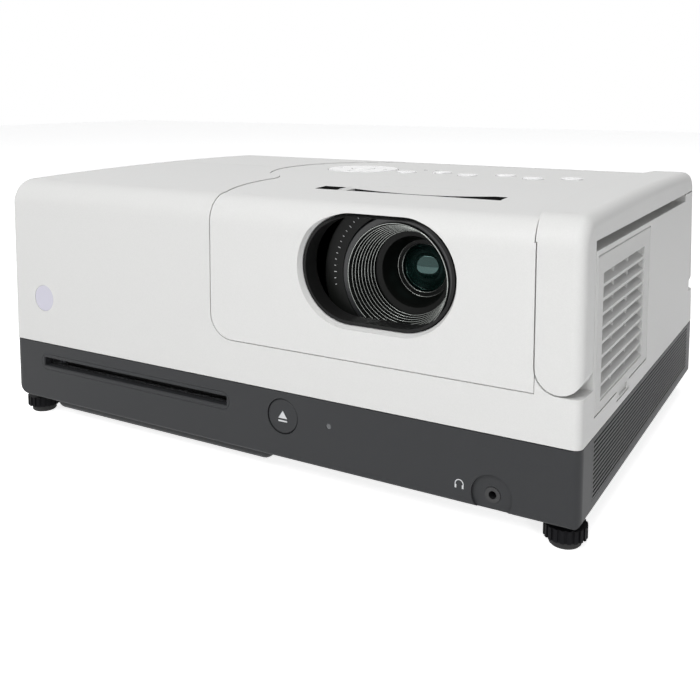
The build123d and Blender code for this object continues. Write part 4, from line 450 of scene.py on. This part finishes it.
RING_FACETS = 128
barrel_low, barrel_high, barrel_middle = low_high("lens_barrel")
LENS_X = barrel_middle.x
LENS_Z = barrel_middle.z
BARREL_FRONT = barrel_low.y
BARREL_LENGTH = barrel_high.y - barrel_low.y
BARREL_RADIUS = (barrel_high.x - barrel_low.x) / 2
RIDGES = 8
RIDGE_PITCH = 0.00195
RIDGE_STEP = 0.00065
LIP = 0.00014
HOOD_MOUTH = BARREL_RADIUS - 0.0009
COLLAR_LENGTH = 0.0022
COLLAR_RADIUS = 0.0176
CONE_MOUTH = 0.0170
CONE_THROAT = 0.01425
TAIL_BORE = 0.0105
GLASS_SEAT = BARREL_FRONT + 0.033
GLASS_RADIUS = 0.0124
GLASS_BULGE = 0.0050
GLASS_POCKET = 0.0035  # half the length of the pocket that holds the glass
GLASS_ROOM = 0.0001
GLASS_RIM = 0.0016  # from the seat forward to the rim of the dome
GLASS_BODY = 0.0042
LINE_THICKNESS = 0.00017


def turned_piece(profile):
    """Turned solid on the lens axis: one ring of edges, extruded and resized from point to point."""
    deselect()
    old_radius, old_y = profile[0]
    bpy.ops.mesh.primitive_circle_add(vertices=RING_FACETS, radius=old_radius,
                                      location=(LENS_X, old_y, LENS_Z), rotation=(radians(90), 0, 0))
    bpy.ops.object.transform_apply(location=True, rotation=True, scale=True)
    bpy.ops.object.mode_set(mode="EDIT")
    bpy.ops.mesh.select_all(action="SELECT")
    for radius, y in profile[1:] + profile[:1]:
        bpy.ops.mesh.extrude_region_move(TRANSFORM_OT_translate={"value": (0, y - old_y, 0)})
        share = radius / old_radius
        bpy.ops.transform.resize(value=(share, 1, share), center_override=(LENS_X, y, LENS_Z))
        old_radius, old_y = radius, y
    bpy.ops.object.mode_set(mode="OBJECT")
    return bpy.context.object


def ridge_places():
    """Radius and place of each lip in the stepped mouth of the hood, from the front to the back."""
    return [(HOOD_MOUTH - step * RIDGE_STEP, BARREL_FRONT + step * RIDGE_PITCH)
            for step in range(1, RIDGES + 1)]


def lens_hood():
    """Lens barrel with a stepped mouth, a smooth collar and a dark cone down to the glass."""
    inner, last_y = ridge_places()[-1]
    collar_y = last_y + COLLAR_LENGTH
    back = BARREL_FRONT + BARREL_LENGTH
    profile = [(BARREL_RADIUS, BARREL_FRONT), (HOOD_MOUTH, BARREL_FRONT)]
    radius = HOOD_MOUTH
    for lip_radius, lip_y in ridge_places():
        profile += [(radius, lip_y), (lip_radius + LIP, lip_y), (lip_radius, lip_y + LIP)]
        radius = lip_radius
    profile += [(inner, collar_y), (COLLAR_RADIUS, collar_y + 0.0008), (CONE_MOUTH, collar_y + 0.0016),
                (CONE_THROAT, GLASS_SEAT - GLASS_POCKET),
                (GLASS_RADIUS + GLASS_ROOM, GLASS_SEAT - GLASS_POCKET),
                (GLASS_RADIUS + GLASS_ROOM, GLASS_SEAT + GLASS_POCKET),
                (TAIL_BORE, GLASS_SEAT + GLASS_POCKET), (TAIL_BORE, back), (BARREL_RADIUS, back)]
    turned_piece(profile)
    piece = settle("lens_hood", hood_black, "housing", 25.0)
    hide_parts("lens_barrel")


def polished_ring(radius, y, thickness):
    """Round wire ring on the lens axis. The thickness is half the wire."""
    deselect()
    bpy.ops.mesh.primitive_torus_add(major_radius=radius, minor_radius=thickness,
                                     major_segments=RING_FACETS, minor_segments=8,
                                     location=(LENS_X, y, LENS_Z), rotation=(radians(90), 0, 0))
    return bpy.context.object


def hood_lines():
    """Bright turned edges: one on each lip, one round the mouth and two round the glass."""
    rings = [polished_ring(radius + LIP / 2, y + LIP / 2, LINE_THICKNESS) for radius, y in ridge_places()]
    rings.append(polished_ring(BARREL_RADIUS - 0.00045, BARREL_FRONT - 0.00005, 0.00026))
    rings.append(polished_ring(0.01430, GLASS_SEAT - 0.0036, 0.00012))
    rings.append(polished_ring(GLASS_RADIUS - 0.0002, GLASS_SEAT - 0.0030, 0.00014))
    join_pieces(rings)
    settle("hood_lines", polished_edge, "housing")


def domed_glass():
    """Front glass: a cap of a sphere drawn back into a short body."""
    ball = (GLASS_RADIUS ** 2 + GLASS_BULGE ** 2) / (2 * GLASS_BULGE)
    rim_y = GLASS_SEAT - GLASS_RIM
    deselect()
    bpy.ops.mesh.primitive_uv_sphere_add(segments=96, ring_count=96, radius=ball,
                                         location=(LENS_X, rim_y - GLASS_BULGE + ball, LENS_Z),
                                         rotation=(radians(90), 0, 0))
    bpy.ops.object.transform_apply(location=True, rotation=True, scale=True)
    bpy.ops.object.mode_set(mode="EDIT")
    bpy.ops.mesh.select_all(action="SELECT")
    bpy.ops.mesh.bisect(plane_co=(LENS_X, rim_y, LENS_Z), plane_no=(0, 1, 0),
                        clear_outer=True, use_fill=True)
    bpy.ops.mesh.select_all(action="DESELECT")
    pick_faces(lambda centre, normal: normal.y > 0.99)
    bpy.ops.mesh.extrude_region_move(TRANSFORM_OT_translate={"value": (0, GLASS_BODY, 0)})
    bpy.ops.object.mode_set(mode="OBJECT")
    piece = settle("domed_glass", deep_glass, "housing", 30.0)
    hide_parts("front_lens")


SURROUND_FRONT = BARREL_FRONT + 0.0004
SURROUND_INNER = 0.0305
SURROUND_OUTER = 0.0385
SURROUND_LIP = 0.0007
SURROUND_DEPTH = 0.0030
SURROUND_SLOPE = 0.0020
SURROUND_TOP = 0.1382
SURROUND_LOW = 0.0800
TICKS = 15
FIRST_TICK = 118
TICK_TURN = 5.2
LONG_EVERY = 4
LONG_TICK = 0.0022
SHORT_TICK = 0.0012


def lens_surround():
    """Dark funnel round the lens rings that closes the view into the case."""
    turned_piece([(SURROUND_INNER, SURROUND_FRONT + SURROUND_SLOPE), (SURROUND_OUTER, SURROUND_FRONT),
                  (SURROUND_OUTER + SURROUND_LIP, SURROUND_FRONT),
                  (SURROUND_OUTER + SURROUND_LIP, SURROUND_FRONT + SURROUND_DEPTH),
                  (SURROUND_INNER, SURROUND_FRONT + SURROUND_DEPTH)])
    bpy.ops.object.mode_set(mode="EDIT")
    for height, way in ((SURROUND_TOP, 1), (SURROUND_LOW, -1)):
        bpy.ops.mesh.select_all(action="SELECT")
        bpy.ops.mesh.bisect(plane_co=(LENS_X, SURROUND_FRONT, height), plane_no=(0, 0, way),
                            clear_outer=True, use_fill=True)
    bpy.ops.object.mode_set(mode="OBJECT")
    settle("lens_surround", hood_black, "housing", 25.0)


def surround_ticks():
    """Short pale ticks on the funnel, as on a focus scale."""
    ticks = []
    slope_radius = SURROUND_INNER + 0.0040
    slope_y = SURROUND_FRONT + 0.0010
    for step in range(TICKS):
        angle = radians(FIRST_TICK + TICK_TURN * step)
        long_tick = step % LONG_EVERY == 0
        place = (LENS_X + slope_radius * cos(angle), slope_y - 0.00002, LENS_Z + slope_radius * sin(angle))
        deselect()
        bpy.ops.mesh.primitive_cube_add(size=1, location=place)
        bpy.context.object.scale = (LONG_TICK if long_tick else SHORT_TICK, INK_THICK, 0.00035)
        bpy.context.object.rotation_euler = (0, -angle, 0)
        bpy.ops.object.transform_apply(location=True, rotation=True, scale=True)
        ticks.append(bpy.context.object)
    join_pieces(ticks)
    bevel_edges(0.00003)
    settle("surround_ticks", ink, "housing")


lens_hood()
hood_lines()
domed_glass()
lens_surround()
surround_ticks()


# ------------------------------------------------------------------ thumb slot
# Near-black finish for the slot walls: painted shade, standing in for the dark of the deep narrow slot.
painted_slot_shade = moulded_plastic("painted_slot_shade", (0.008, 0.008, 0.008), 0.9, 0.0005, 0.3, 0.1, shine=0.1)
TRACK_END = 0.0075  # from the end of the tray to the end of the slot
TRACK_EDGE = 0.0026
WALL_TILT = 0.3  # a wall's normal rises less than this
STRIP_THICK = 0.00025


def slot_shade_sheet():
    """Near-black sheet on the walls of the thumb slot, painted shade where the narrow slot gets little
    light; made from a copy of those walls of the cover.
    """
    low, high, _ = low_high("shutter_track")
    deselect()
    cover = nodes["front_cover"]
    cover.select_set(True)
    bpy.context.view_layer.objects.active = cover
    bpy.ops.object.duplicate()
    strip = bpy.context.object
    bpy.ops.object.mode_set(mode="EDIT")
    bpy.ops.mesh.select_all(action="SELECT")
    bpy.ops.mesh.remove_doubles(threshold=1e-6)
    bpy.ops.mesh.select_all(action="DESELECT")
    bpy.ops.mesh.select_mode(type="FACE")

    def outside(centre, normal):
        in_x = low.x + TRACK_END < centre.x < high.x - TRACK_END
        in_y = low.y + TRACK_EDGE < centre.y < high.y - TRACK_EDGE
        return not (in_x and in_y and centre.z > high.z and abs(normal.z) < WALL_TILT)

    pick_faces(outside)
    bpy.ops.mesh.delete(type="FACE")
    bpy.ops.mesh.select_mode(type="VERT")
    bpy.ops.object.mode_set(mode="OBJECT")
    thick = strip.modifiers.new("thickness", "SOLIDIFY")
    thick.thickness = STRIP_THICK
    thick.offset = 1.0
    bpy.ops.object.modifier_apply(modifier="thickness")
    settle("slot_shade_sheet", painted_slot_shade, "housing")


slot_shade_sheet()
